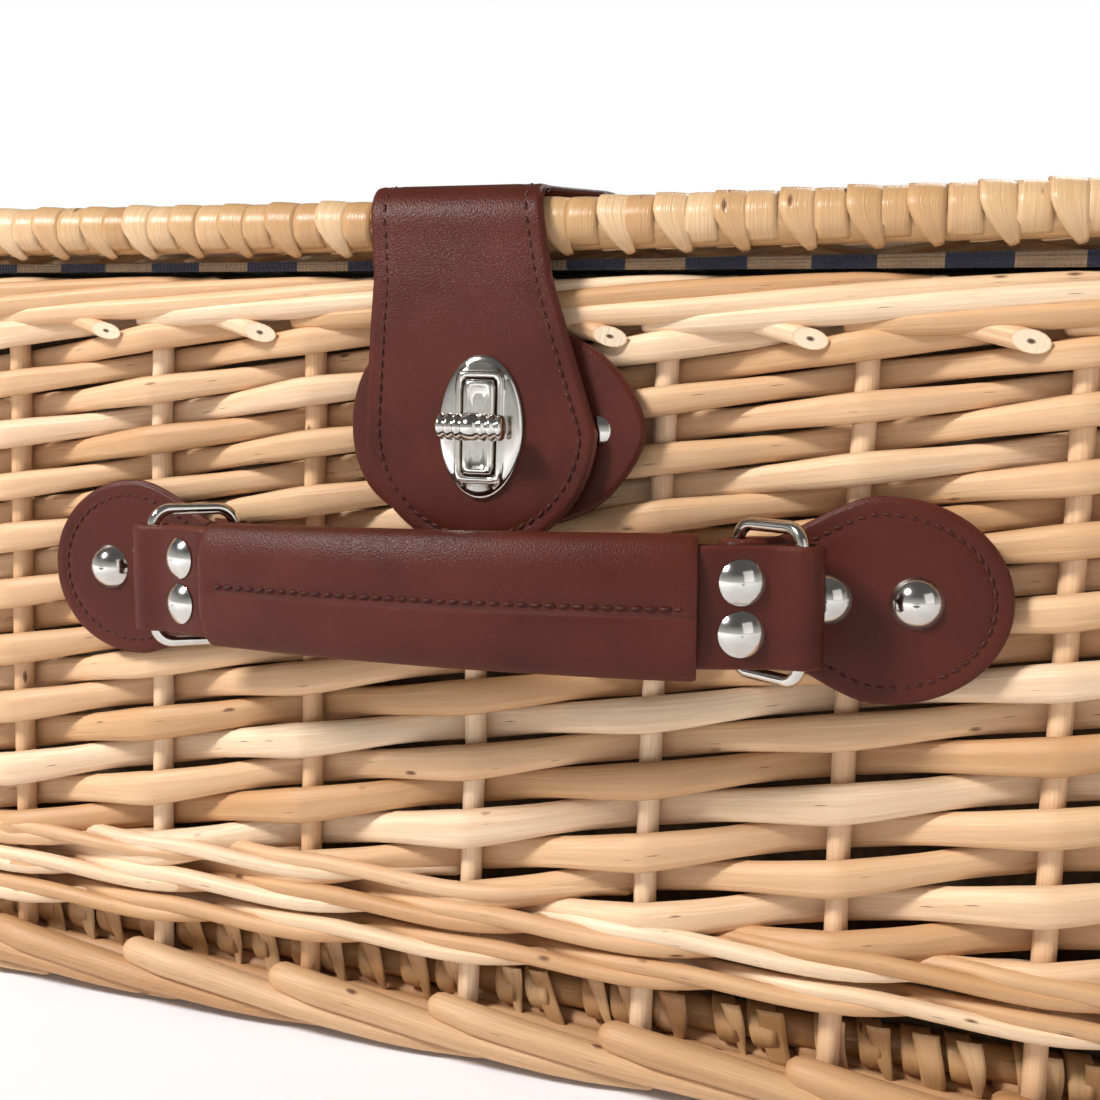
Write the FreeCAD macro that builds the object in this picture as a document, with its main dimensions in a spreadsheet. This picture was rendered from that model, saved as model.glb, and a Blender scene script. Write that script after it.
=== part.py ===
"""Wicker picnic hamper with a leather handle, a turn-lock clasp and a strap-hinged lid.

Millimetres, +X right, -Y front, +Z up. The origin is under the middle of the hamper's box.
Walls are placed by their stake planes: the rectangle through the centres of the wall stakes.
"""

import FreeCAD, Part
import math
import os

import Sketcher

Vec = FreeCAD.Vector
doc = FreeCAD.newDocument("picnic_hamper")

# ---------------------------------------------------------------- driving dimensions

SIZES = {
    "stake_span_x": 447.0,  # between the left and right stake planes
    "stake_span_y": 297.0,  # between the front and back stake planes
    "basket_shift": 13.25,  # the basket's middle stands this far behind the origin
    "stake_pitch": 41.5,
    "side_pitch": 41.0,
    "stake_radius": 2.5,
    "corner_radius": 4.5,
    "corner_inset": 2.5,
    "stake_play": 0.15,
    "stake_foot": 15.0,
    "foot_top": 13.0,
    "base_top": 21.0,
    "wale_top": 36.0,
    "weave_top": 170.0,
    "border_top": 182.4,
    "weave_half": 6.5,  # the weave reaches this far each side of the stake plane
    "wale_out": 7.5,
    "border_out": 7.0,
    "foot_out": 7.0,
    "foot_in": 4.0,
    "base_out": 5.0,
    "base_in": 7.0,
    "rim_round": 14.0,
    "slab_round": 12.5,
    "panel_thickness": 6.0,
    "panel_rod": 2.3,
    "lining_gap": 2.0,
    "cloth": 1.0,
    "lid_bottom": 184.8,
    "lid_top": 197.5,
    "lid_out": 8.5,
    "lid_back_out": 7.0,
    "lid_in": 3.5,
    "rim_skin": 2.2,
    "lid_cloth": 1.4,
    "lid_cloth_bottom": 183.1,
    "leather": 2.5,
    "fit_gap": 0.3,
    "handle_shift": 2.0,
    "handle_level": 114.0,
    "handle_tilt": 1.5,  # degrees, the right end stands higher
    "patch_leather": 3.0,
    "patch_middle": 87.5,
    "patch_round": 21.0,
    "patch_neck": 24.0,
    "bar_place": 58.3,
    "bar_out": 10.5,
    "wire_radius": 1.35,
    "ring_reach": 18.0,
    "ring_tall": 30.3,
    "ring_round": 4.0,
    "ring_angle": 38.0,  # degrees that a ring stands off the wall
    "loop_radius": 3.9,
    "loop_bore": 1.75,
    "end_loop_radius": 4.1,
    "end_loop_bore": 2.15,
    "end_place": 55.0,
    "end_out": 27.8,
    "end_thickness": 5.0,
    "end_tall": 24.0,
    "grip_half": 52.0,
    "grip_bow": 4.5,
    "grip_thickness": 10.5,
    "grip_tall": 27.0,
    "grip_leather": 2.2,
    "rivet_head": 5.25,
    "rivet_dome": 3.0,
    "rivet_shank": 1.3,
    "small_head": 4.5,
    "small_dome": 1.8,
    "washer_radius": 6.0,
    "washer_thickness": 1.2,
    "outer_rivet": 93.7,
    "inner_rivet": 76.0,
    "end_rivet": 6.5,
    "end_rivet_pitch": 10.0,
    "end_rivet_tail": 0.8,
    "clasp_place": 4.8,
    "clasp_level": 148.2,
    "clasp_patch_span": 67.0,
    "clasp_patch_tall": 39.0,
    "clasp_rivet": 24.7,
    "flap_out": 11.0,
    "flap_half_top": 19.0,
    "flap_slant": 5.0,
    "flap_round": 25.0,
    "flap_round_level": 147.0,
    "strap_back": 52.0,
    "strap_rivet_side": 9.5,
    "plate_half": 9.5,
    "plate_tall": 30.5,
    "plate_thickness": 1.5,
    "slot_half": 4.1,
    "slot_tall": 21.0,
    "lug_half": 3.5,
    "lug_tall": 20.0,
    "lug_out": 16.2,
    "knob_half": 8.5,
    "knob_tall": 6.0,
    "knob_depth": 6.0,
    "knob_pin": 1.8,
    "knob_round": 1.6,
    "knob_gap": 0.4,
    "knob_root": 4.5,
    "knob_bore": 5.0,
    "lock_plate": 1.0,
    "lock_plate_inset": 1.0,
    "overrun": 1.0,  # how far a cutting or joining shape runs past a face
    "hinge_place": 110.0,
    "hinge_half": 15.0,
    "hinge_low": 140.0,
    "hinge_reach": 48.0,
    "hinge_gap": 0.3,
    "hinge_level": 183.6,
    "strap_top": 200.3,
    "hinge_rivet_low": 150.0,
    "hinge_rivet_high": 166.0,
    "lid_rivet_near": 22.0,
    "lid_rivet_far": 38.0,
}

sheet = doc.addObject("Spreadsheet::Sheet", "sizes")
for row, (word, value) in enumerate(SIZES.items(), start=1):
    sheet.set(f"A{row}", word)
    sheet.set(f"B{row}", str(value))
    sheet.setAlias(f"B{row}", word)
doc.recompute()


def size(word):
    """A driving dimension, read back from the sheet."""
    return float(sheet.get(word))


def bound(text):
    """An expression in which every driving dimension is the sheet's cell."""
    words = sorted(SIZES, key=len, reverse=True)
    out, place = "", 0
    while place < len(text):
        word = next((w for w in words if text.startswith(w, place)), None)
        out += f"sizes.{word}" if word else text[place]
        place += len(word) if word else 1
    return out


SHAPES = []

# ---------------------------------------------------------------- expressions used often

FRONT = "basket_shift - stake_span_y / 2"
BACK = "basket_shift + stake_span_y / 2"
STRAP_OUT = "border_out + hinge_gap"


# ---------------------------------------------------------------- building blocks


def kept(thing, label):
    """Name a finished sub-part and keep it for export."""
    thing.Label = label
    SHAPES.append(thing)
    return thing


def placed(thing, x="0", y="0", z="0"):
    """Bind a primitive's position to the sheet."""
    for axis, text in zip("xyz", (x, y, z)):
        thing.setExpression(f".Placement.Base.{axis}", bound(text))
    return thing


def box(name, length, width, height, x, y, z):
    """A box whose sizes and lower corner are bound to the sheet."""
    thing = doc.addObject("Part::Box", name)
    for prop, text in (("Length", length), ("Width", width), ("Height", height)):
        thing.setExpression(prop, bound(text))
    return placed(thing, x, y, z)


def middle_box(name, length, width, bottom, top, y="basket_shift"):
    """A box centred on the hamper's middle, between two levels."""
    tall = f"{top} - ({bottom})"
    return box(name, length, width, tall, f"-({length}) / 2", f"{y} - ({width}) / 2", bottom)


def rod(name, radius, height, x, y, z, direction=Vec(0, 0, 1)):
    """A cylinder bound to the sheet, along a direction."""
    thing = doc.addObject("Part::Cylinder", name)
    thing.setExpression("Radius", bound(radius))
    thing.setExpression("Height", bound(height))
    thing.Placement = FreeCAD.Placement(Vec(), FreeCAD.Rotation(Vec(0, 0, 1), direction))
    return placed(thing, x, y, z)


def group(name, things):
    """Several separate solids as one object."""
    thing = doc.addObject("Part::Compound", name)
    thing.Links = things
    return thing


def cut(name, base, tool):
    """One object less another."""
    thing = doc.addObject("Part::Cut", name)
    thing.Base, thing.Tool = base, tool
    return thing


def fuse(name, things):
    """Several touching objects as one."""
    thing = doc.addObject("Part::MultiFuse", name)
    thing.Shapes = things
    return thing


def rounded(name, base, radius, chosen):
    """Round the edges for which chosen(edge) is true."""
    doc.recompute()
    thing = doc.addObject("Part::Fillet", name)
    thing.Base = base
    picks = [k for k, edge in enumerate(base.Shape.Edges, start=1) if chosen(edge)]
    thing.Edges = [(k, radius, radius) for k in picks]
    return thing


def upright(edge):
    """Is this a straight vertical edge?"""
    line = edge.Curve
    return isinstance(line, Part.Line) and abs(line.Direction.z) > 0.99


def outer_corner(edge):
    """Is this one of the hamper's outer upright corners?"""
    return upright(edge) and abs(edge.BoundBox.Center.y - size("basket_shift")) > size("stake_span_y") / 2


def ring(name, out, inward, bottom, top):
    """A rectangular ring with round outer corners, set out from the stake planes."""
    sizes_out = [f"stake_span_{axis} + 2 * ({out})" for axis in "xy"]
    sizes_in = [f"stake_span_{axis} - 2 * ({inward})" for axis in "xy"]
    outer = middle_box(f"{name}_outer", *sizes_out, bottom, top)
    inner = middle_box(f"{name}_inner", *sizes_in, bottom, top)
    return cut(name, rounded(f"{name}_round", outer, size("rim_round"), upright), inner)


def make_body(name):
    """A PartDesign body and a way to reach its origin planes."""
    body = doc.addObject("PartDesign::Body", name)
    planes = {item.Role: item for item in body.Origin.OriginFeatures}
    return body, planes


def make_sketch(body, planes, role, name):
    """A sketch on one of the body's own origin planes."""
    sketch = body.newObject("Sketcher::SketchObject", name)
    sketch.AttachmentSupport = [(planes[role], "")]
    sketch.MapMode = "FlatFace"
    return sketch


def pad(body, sketch, name, length, start="0", backwards=False):
    """Pad a sketch by a length, from a start that is given as an offset along the normal."""
    sketch.setExpression(".AttachmentOffset.Base.z", bound(start))
    feature = body.newObject("PartDesign::Pad", name)
    feature.Profile = sketch
    feature.setExpression("Length", bound(length))
    feature.Reversed = backwards
    sketch.Visibility = False
    return feature


def pocket_through(body, sketch, name):
    """Cut a sketch right through the body, both ways, and make sure that it cut."""
    doc.recompute()
    before = body.Shape.Volume
    feature = body.newObject("PartDesign::Pocket", name)
    feature.Profile = sketch
    feature.Type = "ThroughAll"
    feature.Midplane = True
    doc.recompute()
    assert body.Shape.Volume < before - 1.0, f"{name} cut nothing"
    return feature


def circle(sketch, name, radius, x="0", y="0"):
    """A circle with its radius and centre bound to the sheet."""
    item = sketch.addGeometry(Part.Circle(Vec(1, 1, 0), Vec(0, 0, 1), 5.0), False)
    dimension(sketch, f"{name}_radius", Sketcher.Constraint("Radius", item, 5.0), radius)
    dimension(sketch, f"{name}_x", Sketcher.Constraint("DistanceX", -1, 1, item, 3, 1.0), x)
    dimension(sketch, f"{name}_y", Sketcher.Constraint("DistanceY", -1, 1, item, 3, 1.0), y)
    return item


def dimension(sketch, name, constraint, text):
    """Add a named dimension and bind it to the sheet."""
    index = sketch.addConstraint(constraint)
    sketch.renameConstraint(index, name)
    sketch.setExpression(f"Constraints.{name}", bound(text))


def outline(sketch, name, points):
    """A closed run of lines and arcs through points whose coordinates are bound to the sheet.

    Each point is (x, y) in expressions; a third entry makes the edge that leaves it a half
    circle, which bulges to the right of its travel if the entry is 1 and to the left if -1.
    """
    corners = [Vec(worked(p[0]), worked(p[1]), 0) for p in points]
    items, starts = [], []
    for k, point in enumerate(points):
        a, b = corners[k], corners[(k + 1) % len(points)]
        bulge = point[2] if len(point) == 3 else 0
        if bulge:
            first = a if bulge > 0 else b
            middle = (a + b) * 0.5
            angle = math.atan2(first.y - middle.y, first.x - middle.x)
            whole = Part.Circle(middle, Vec(0, 0, 1), (b - a).Length / 2)
            items.append(sketch.addGeometry(Part.ArcOfCircle(whole, angle, angle + math.pi), False))
        else:
            items.append(sketch.addGeometry(Part.LineSegment(a, b), False))
        starts.append(2 if bulge < 0 else 1)
    for k, item in enumerate(items):
        after = (k + 1) % len(items)
        joint = Sketcher.Constraint("Coincident", item, 3 - starts[k], items[after], starts[after])
        sketch.addConstraint(joint)
    for k, (point, item) in enumerate(zip(points, items)):
        for axis, kind in enumerate(("DistanceX", "DistanceY")):
            constraint = Sketcher.Constraint(kind, -1, 1, item, starts[k], corners[k][axis])
            dimension(sketch, f"{name}_{k}_{'xy'[axis]}", constraint, point[axis])
        if len(point) == 3:
            sketch.addConstraint(Sketcher.Constraint("Symmetric", item, 1, item, 2, item, 3))


def worked(text):
    """The present value of an expression in driving dimensions."""
    sheet.set("D1", "=" + bound(text).replace("sizes.", ""))
    sheet.recompute()
    value = sheet.get("D1")
    return float(getattr(value, "Value", value))


def tilt_at(local=FreeCAD.Placement()):
    """A placement in the handle's own level frame, tilted as the handle hangs."""
    turn = FreeCAD.Rotation(Vec(0, 1, 0), -size("handle_tilt"))
    middle = Vec(size("handle_shift"), worked(FRONT), size("handle_level"))
    return FreeCAD.Placement(middle, turn).multiply(local)


def dome_rivet(name, head, dome, shank_length, places, direction):
    """Separate rivets in one object: a domed head on a plain shank.

    places are the points under the heads, and direction points out of the head.
    """
    radius = size(head)
    rise = size(dome)
    sphere = (radius**2 + rise**2) / (2 * rise)
    shank = size("rivet_shank")
    tail, tip = Vec(0, 0, -shank_length), Vec(0, 0, rise)
    corners = [tip, tail, Vec(shank, 0, -shank_length), Vec(shank, 0, 0), Vec(radius, 0, 0)]
    edges = [Part.LineSegment(a, b).toShape() for a, b in zip(corners, corners[1:])]
    edges.append(Part.Arc(corners[-1], dome_point(sphere, radius, rise), tip).toShape())
    solid = Part.Face(Part.Wire(edges)).revolve(Vec(), Vec(0, 0, 1), 360)
    turn = FreeCAD.Rotation(Vec(0, 0, 1), direction)
    copies = []
    for place in places:
        copy = solid.copy()
        copy.Placement = FreeCAD.Placement(place, turn)
        copies.append(copy)
    thing = doc.addObject("Part::Feature", name)
    thing.Shape = Part.makeCompound(copies)
    return thing


def dome_point(sphere, radius, rise):
    """The point half way up a dome's arc."""
    angle = 0.5 * math.asin(radius / sphere)
    return Vec(sphere * math.sin(angle), 0, rise - sphere * (1 - math.cos(angle)))


def shank_holes(name, places, direction, depth):
    """Cylinders that clear the shanks of rivets."""
    radius = size("rivet_shank") + size("stake_play")
    thing = doc.addObject("Part::Feature", name)
    back = direction * -depth
    long = depth + size("overrun")
    holes = [Part.makeCylinder(radius, long, p + back, direction) for p in places]
    thing.Shape = Part.makeCompound(holes)
    return thing


def washers(name, places, direction):
    """Flat washers, each round a shank, lying from its place against direction."""
    outer, inner = size("washer_radius"), size("rivet_shank") + size("stake_play")
    back = direction * -size("washer_thickness")
    rings = []
    for place in places:
        disc = Part.makeCylinder(outer, size("washer_thickness"), place + back, direction)
        rings.append(disc.cut(Part.makeCylinder(inner, size("washer_thickness"), place + back, direction)))
    thing = doc.addObject("Part::Feature", name)
    thing.Shape = Part.makeCompound(rings)
    return thing


# ---------------------------------------------------------------- stakes


def stake_places():
    """Where the wall stakes stand, as expressions in x and y."""
    places = []
    for step in range(-5, 6):
        places += [(f"{step} * stake_pitch", FRONT), (f"{step} * stake_pitch", BACK)]
    for step in range(-3, 4):
        y = f"basket_shift + {step} * side_pitch"
        places += [("-stake_span_x / 2", y), ("stake_span_x / 2", y)]
    return places


def corner_places():
    """Where the corner posts stand."""
    places = []
    for side in (-1, 1):
        for end in (-1, 1):
            x = f"{side} * (stake_span_x / 2 - corner_inset)"
            y = f"basket_shift + {end} * (stake_span_y / 2 - corner_inset)"
            places.append((x, y))
    return places


def stakes(name, places, radius):
    """Upright rods from the base frame to the underside of the border."""
    tall = "weave_top - stake_foot"
    rods = [rod(f"{name}_{k}", radius, tall, *place, "stake_foot") for k, place in enumerate(places)]
    return group(name, rods)


wall_stakes = stakes("wall_stakes", stake_places(), "stake_radius")
corner_posts = stakes("corner_posts", corner_places(), "corner_radius")
stake_room = stakes("stake_room", stake_places(), "stake_radius + stake_play")
corner_room = stakes("corner_room", corner_places(), "corner_radius + stake_play")
all_room = group("all_room", [stake_room, corner_room])

# ---------------------------------------------------------------- rivet places

OUT = Vec(0, -1, 0)
BACKWARD = Vec(0, 1, 0)
UP = Vec(0, 0, 1)
FRONT_Y = worked(FRONT)
BACK_Y = worked(BACK)


def on_front(x, out, z):
    """A point at a distance out from the front stake plane."""
    return Vec(x, FRONT_Y - out, z)


patch_face = size("weave_half") + size("patch_leather")
clasp_face = size("weave_half") + size("leather")
hinge_face = BACK_Y + worked(STRAP_OUT) + size("leather")
handle_rivets, clasp_rivets, hinge_rivets = [], [], []
for side in (-1, 1):
    for word in ("outer_rivet", "inner_rivet"):
        handle_rivets.append(tilt_at().multVec(Vec(side * size(word), -patch_face, 0)))
    across = size("clasp_place") + side * size("clasp_rivet")
    clasp_rivets.append(on_front(across, clasp_face, size("clasp_level")))
    for word in ("hinge_rivet_low", "hinge_rivet_high"):
        hinge_rivets.append(Vec(side * size("hinge_place"), hinge_face, size(word)))
inner_front = FRONT_Y + size("weave_half")
inner_back = BACK_Y - size("weave_half")
front_rivets = handle_rivets + clasp_rivets

# ---------------------------------------------------------------- basket


def make_walls():
    """Foot, base, wale, four woven walls, top border and lining."""
    kept(ring("foot_border", "foot_out", "foot_in", "0", "foot_top"), "foot_border")
    base = ring("base_ring", "base_out", "base_in", "foot_top", "base_top")
    kept(cut("base_frame", base, all_room), "base_frame")
    kept(wall_stakes, "wall_stakes")
    kept(corner_posts, "corner_posts")
    wale = ring("wale_ring", "wale_out", "weave_half", "base_top", "wale_top")
    kept(cut("lower_wale", wale, all_room), "lower_wale")
    kept(ring("top_border", "border_out", "weave_half", "weave_top", "border_top"), "top_border")

    long_side = "stake_span_x + 2 * weave_half"
    short_side = "stake_span_y - 2 * weave_half"
    thick = "2 * weave_half"
    for name, middle, rivets, depth in (
        ("front", FRONT, front_rivets, BACKWARD),
        ("back", BACK, hinge_rivets, OUT),
    ):
        slab = middle_box(f"slab_{name}", long_side, thick, "wale_top", "weave_top", middle)
        slab = rounded(f"soft_slab_{name}", slab, size("slab_round"), outer_corner)
        holes = group(f"holes_{name}", [all_room, wall_holes(f"rivet_holes_{name}", rivets, depth)])
        kept(cut(f"woven_wall_{name}", slab, holes), f"woven_wall_{name}")
    for name, side in (("left", "-1"), ("right", "1")):
        x = f"{side} * stake_span_x / 2 - weave_half"
        y = f"basket_shift - ({short_side}) / 2"
        slab = box(f"slab_{name}", thick, short_side, "weave_top - wale_top", x, y, "wale_top")
        kept(cut(f"woven_wall_{name}", slab, all_room), f"woven_wall_{name}")


def wall_holes(name, places, inward):
    """Holes through a wall for rivets whose heads are outside it."""
    return shank_holes(name, places, inward * -1, 3 * size("weave_half"))


def make_panel(label, bottom, span_x, span_y, middle_y, steps):
    """A woven panel across front-to-back sticks, which are a sub-part of their own."""
    level = f"{bottom} + panel_thickness / 2"
    ends = f"{middle_y} - ({span_y}) / 2"

    def sticks(name, radius):
        rods = [
            rod(f"{name}_{k}", radius, span_y, f"{step} * stake_pitch", ends, level, BACKWARD)
            for k, step in enumerate(range(-steps, steps + 1))
        ]
        return group(name, rods)

    kept(sticks(f"{label}_sticks", "panel_rod"), f"{label}_sticks")
    slab = middle_box(f"{label}_slab", span_x, span_y, bottom, f"{bottom} + panel_thickness", middle_y)
    return slab, sticks(f"{label}_room", "panel_rod + stake_play")


def make_base():
    """The woven floor inside the base frame."""
    slab, room = make_panel(
        "base",
        "foot_top + overrun",
        "stake_span_x - 2 * base_in",
        "stake_span_y - 2 * base_in",
        "basket_shift",
        4,
    )
    kept(cut("base_panel", slab, room), "base_panel")


def make_body_lining():
    """A cloth tray inside the walls."""
    boxes = []
    for name, inset, floor in (
        ("outer", "weave_half + lining_gap", "base_top"),
        ("inner", "weave_half + lining_gap + cloth", "base_top + cloth"),
    ):
        spans = [f"stake_span_{axis} - 2 * ({inset})" for axis in "xy"]
        boxes.append(middle_box(f"lining_{name}", *spans, floor, "border_top"))
    kept(cut("body_lining", *boxes), "body_lining")


# ---------------------------------------------------------------- lid


def make_lid():
    """A wrapped rim round a frame, the woven panel and the cloth beneath it."""
    lid_y = "(basket_shift + (lid_back_out - lid_out) / 2)"
    out_y = "stake_span_y + lid_out + lid_back_out"
    out_x = "stake_span_x + 2 * lid_out"
    in_x, in_y = "stake_span_x - 2 * lid_in", "stake_span_y - 2 * lid_in"
    outer = middle_box("rim_outer", out_x, out_y, "lid_bottom", "lid_top", lid_y)
    soft = rounded("rim_outer_round", outer, size("rim_round"), upright)
    opening = middle_box("rim_opening", in_x, in_y, "lid_bottom", "lid_top")
    solid_rim = cut("solid_rim", soft, opening)

    skin = "2 * rim_skin"
    low, high = "lid_bottom + rim_skin", "lid_top - rim_skin"
    core = middle_box("core_outer", f"{out_x} - {skin}", f"{out_y} - {skin}", low, high, lid_y)
    core_round = rounded("core_round", core, size("rim_round") - size("rim_skin"), upright)
    core_hole = middle_box("core_opening", f"{in_x} + {skin}", f"{in_y} + {skin}", low, high)
    frame = cut("lid_frame", core_round, core_hole)
    kept(frame, "lid_frame")
    kept(cut("lid_rim_wrap", solid_rim, frame), "lid_rim_wrap")

    slab, room = make_panel("lid", "lid_top - rim_skin - panel_thickness", in_x, in_y, "basket_shift", 5)
    holes = shank_holes("lid_panel_holes", lid_rivets(), UP, size("lid_top") - size("lid_bottom"))
    kept(cut("lid_panel", slab, group("lid_panel_room", [room, holes])), "lid_panel")

    edge = "2 * (fit_gap + lid_in)"
    cloth = middle_box(
        "lid_cloth_slab",
        f"stake_span_x - {edge}",
        f"stake_span_y - {edge}",
        "lid_cloth_bottom",
        "lid_cloth_bottom + lid_cloth",
    )
    kept(cloth, "lid_lining")


def lid_rivets():
    """Points under the heads of the rivets that go down through the lid."""
    top = size("strap_top")
    middle = size("clasp_place") - size("flap_slant")
    clasp, hinges = [], []
    for side in (-1, 1):
        across = middle + side * size("strap_rivet_side")
        clasp.append(Vec(across, FRONT_Y + size("lid_rivet_far"), top))
        for word in ("lid_rivet_near", "lid_rivet_far"):
            hinges.append(Vec(side * size("hinge_place"), BACK_Y - size(word), top))
    return clasp + hinges


# ---------------------------------------------------------------- leather straps


def top_sheet(label, points, bottom, thickness):
    """A flat piece on the lid: an outline in x and y, with its underside at a level."""
    body, planes = make_body(f"{label}_body")
    face = make_sketch(body, planes, "XY_Plane", f"{label}_outline")
    outline(face, "edge", points)
    pad(body, face, f"{label}_pad", thickness, start=bottom)
    return body


def front_sheet(label, points, near, thickness, holes=()):
    """A flat piece on the front: an outline in x and z, with its back at a distance out.

    holes are (name, points) outlines cut through it.
    """
    body, planes = make_body(f"{label}_body")
    face = make_sketch(body, planes, "XZ_Plane", f"{label}_outline")
    outline(face, "edge", points)
    pad(body, face, f"{label}_pad", thickness, start=f"({near}) - ({FRONT})")
    doc.recompute()
    for name, hole in holes:
        opening = make_sketch(body, planes, "XZ_Plane", f"{label}_{name}")
        outline(opening, name, hole)
        pocket_through(body, opening, f"{label}_{name}_cut")
    return body


def round_ended(middle_x, middle_z, half, tall):
    """An upright outline with half-round ends."""
    low = f"{middle_z} - ({tall}) / 2 + {half}"
    high = f"{middle_z} + ({tall}) / 2 - ({half})"
    left, right = f"{middle_x} - {half}", f"{middle_x} + {half}"
    return [(left, high), (left, low, 1.0), (right, low), (right, high, 1.0)]


def rectangle(middle_x, middle_z, half, tall):
    """A plain upright rectangle."""
    low, high = f"{middle_z} - ({tall}) / 2", f"{middle_z} + ({tall}) / 2"
    left, right = f"{middle_x} - {half}", f"{middle_x} + {half}"
    return [(left, high), (left, low), (right, low), (right, high)]


def with_holes(name, thing, places, direction, depth):
    """A piece with rivet holes through it."""
    return cut(name, thing, shank_holes(f"{name}_holes", places, direction, depth))


def make_clasp():
    """Backing patch, turn-lock, slotted flap and the strap on the lid."""
    low = "clasp_level - clasp_patch_tall / 2"
    high = "clasp_level + clasp_patch_tall / 2"
    inset = "clasp_patch_tall / 2"
    left = f"clasp_place - clasp_patch_span / 2 + {inset}"
    right = f"clasp_place + clasp_patch_span / 2 - {inset}"
    edge = [(left, low), (right, low, 1.0), (right, high), (left, high, 1.0)]
    patch = front_sheet("clasp_patch", edge, "weave_half", "leather")
    kept(with_holes("clasp_patch", patch, clasp_rivets, OUT, 3 * size("leather")), "clasp_patch")

    narrow, short = "(plate_half - lock_plate_inset)", "plate_tall - 2 * lock_plate_inset"
    plate = round_ended("clasp_place", "clasp_level", narrow, short)
    plate_body = front_sheet("lock_base_plate", plate, "weave_half + leather", "lock_plate")
    kept(plate_body, "lock_base_plate")
    lug = rectangle("clasp_place", "clasp_level", "lug_half", "lug_tall")
    near = "weave_half + leather + lock_plate"
    lug_body = front_sheet("lock_lug", lug, near, f"lug_out - ({near})")
    bore = shaft("bore", "knob_pin + stake_play", "lug_out - knob_bore", "lug_out + overrun")
    kept(cut("lock_lug", lug_body, bore), "lock_lug")

    slot = rectangle("clasp_place", "clasp_level", "slot_half", "slot_tall")
    top_middle = "clasp_place - flap_slant"
    bottom = "flap_round_level"
    flap = [
        (f"{top_middle} - flap_half_top", "strap_top"),
        ("clasp_place - flap_round", bottom, 1.0),
        ("clasp_place + flap_round", bottom),
        (f"{top_middle} + flap_half_top", "strap_top"),
    ]
    kept(front_sheet("clasp_flap", flap, "flap_out", "leather", [("slot", slot)]), "clasp_flap")
    oval = round_ended("clasp_place", "clasp_level", "plate_half", "plate_tall")
    slots = [("slot", slot)]
    slotted = front_sheet("slot_plate", oval, "flap_out + leather", "plate_thickness", slots)
    kept(slotted, "slot_plate")

    front_edge = f"{FRONT} - flap_out + fit_gap"
    round_place = f"{FRONT} + strap_back - flap_round"
    strap = [
        (f"{top_middle} - flap_half_top", front_edge),
        (f"{top_middle} + flap_half_top", front_edge),
        (f"{top_middle} + flap_round", round_place, 1.0),
        (f"{top_middle} - flap_round", round_place),
    ]
    top = top_sheet("clasp_strap", strap, "strap_top - leather", "leather")
    label = "clasp_strap_top"
    kept(with_holes(label, top, lid_rivets()[:2], UP, 3 * size("leather")), label)


def shaft(name, radius, near, far):
    """A cylinder on the turn-lock's axis between two distances out."""
    return rod(name, radius, f"{far} - ({near})", "clasp_place", f"{FRONT} - ({near})", "clasp_level", OUT)


def make_knob():
    """The turn-lock's bar on its pin, lying crosswise as when locked."""
    near = "lug_out + knob_gap"
    bar = box(
        "knob_bar",
        "2 * knob_half",
        "knob_depth",
        "knob_tall",
        "clasp_place - knob_half",
        f"{FRONT} - ({near}) - knob_depth",
        "clasp_level - knob_tall / 2",
    )

    def lengthwise(edge):
        line = edge.Curve
        return isinstance(line, Part.Line) and abs(line.Direction.x) > 0.99

    soft = rounded("knob_soft", bar, size("knob_round"), lengthwise)
    pin = shaft("knob_shaft", "knob_pin", "lug_out - knob_root", f"{near} + overrun")
    kept(fuse("turn_knob", [soft, pin]), "turn_knob")


def make_hinges():
    """Leather strap hinges, each cut at the line where it bends."""
    for name, side in (("left", "-1"), ("right", "1")):
        x = f"{side} * hinge_place - hinge_half"
        y = f"{BACK} + {STRAP_OUT}"
        rivets = [p for p in hinge_rivets if p.x * float(side) > 0]
        tall = "hinge_level - hinge_gap - hinge_low"
        lower = box(f"lower_{name}", "2 * hinge_half", "leather", tall, x, y, "hinge_low")
        label = f"hinge_strap_{name}_lower"
        kept(with_holes(label, lower, rivets, BACKWARD, 3 * size("leather")), label)

        leg_low = "hinge_level + hinge_gap"
        tall = f"strap_top - ({leg_low})"
        leg = box(f"leg_{name}", "2 * hinge_half", "leather", tall, x, y, leg_low)
        start = f"{BACK} - hinge_reach"
        flat = box(
            f"flat_{name}",
            "2 * hinge_half",
            f"hinge_reach + {STRAP_OUT} + leather",
            "leather",
            x,
            start,
            "strap_top - leather",
        )
        label = f"hinge_strap_{name}_upper"
        tops = [p for p in lid_rivets()[2:] if p.x * float(side) > 0]
        joined = fuse(f"{label}_joined", [leg, flat])
        kept(with_holes(label, joined, tops, UP, 2 * size("leather")), label)


def make_rivets():
    """All rivets and the washers inside the basket, in groups of equal pieces."""
    wall = 2 * size("weave_half") + size("washer_thickness")
    under = size("strap_top") - size("lid_top") + size("rim_skin") + size("panel_thickness")
    back = worked(STRAP_OUT) + size("leather") - size("weave_half")
    for label, kind, depth, places, direction in (
        ("patch_rivets", "rivet", size("patch_leather") + wall, handle_rivets, OUT),
        ("clasp_patch_rivets", "small", size("leather") + wall, clasp_rivets, OUT),
        ("hinge_rivets_lower", "small", back + wall, hinge_rivets, BACKWARD),
        ("clasp_strap_rivets", "small", under, lid_rivets()[:2], UP),
        ("hinge_rivets_upper", "small", under, lid_rivets()[2:], UP),
    ):
        kept(dome_rivet(label, f"{kind}_head", f"{kind}_dome", depth, places, direction), label)
    for label, level, rivets, direction in (
        ("front_washers", inner_front, front_rivets, OUT),
        ("back_washers", inner_back, hinge_rivets, BACKWARD),
    ):
        inside = [Vec(p.x, level, p.z) for p in rivets]
        kept(washers(label, inside, direction), label)


# ---------------------------------------------------------------- handle


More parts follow.
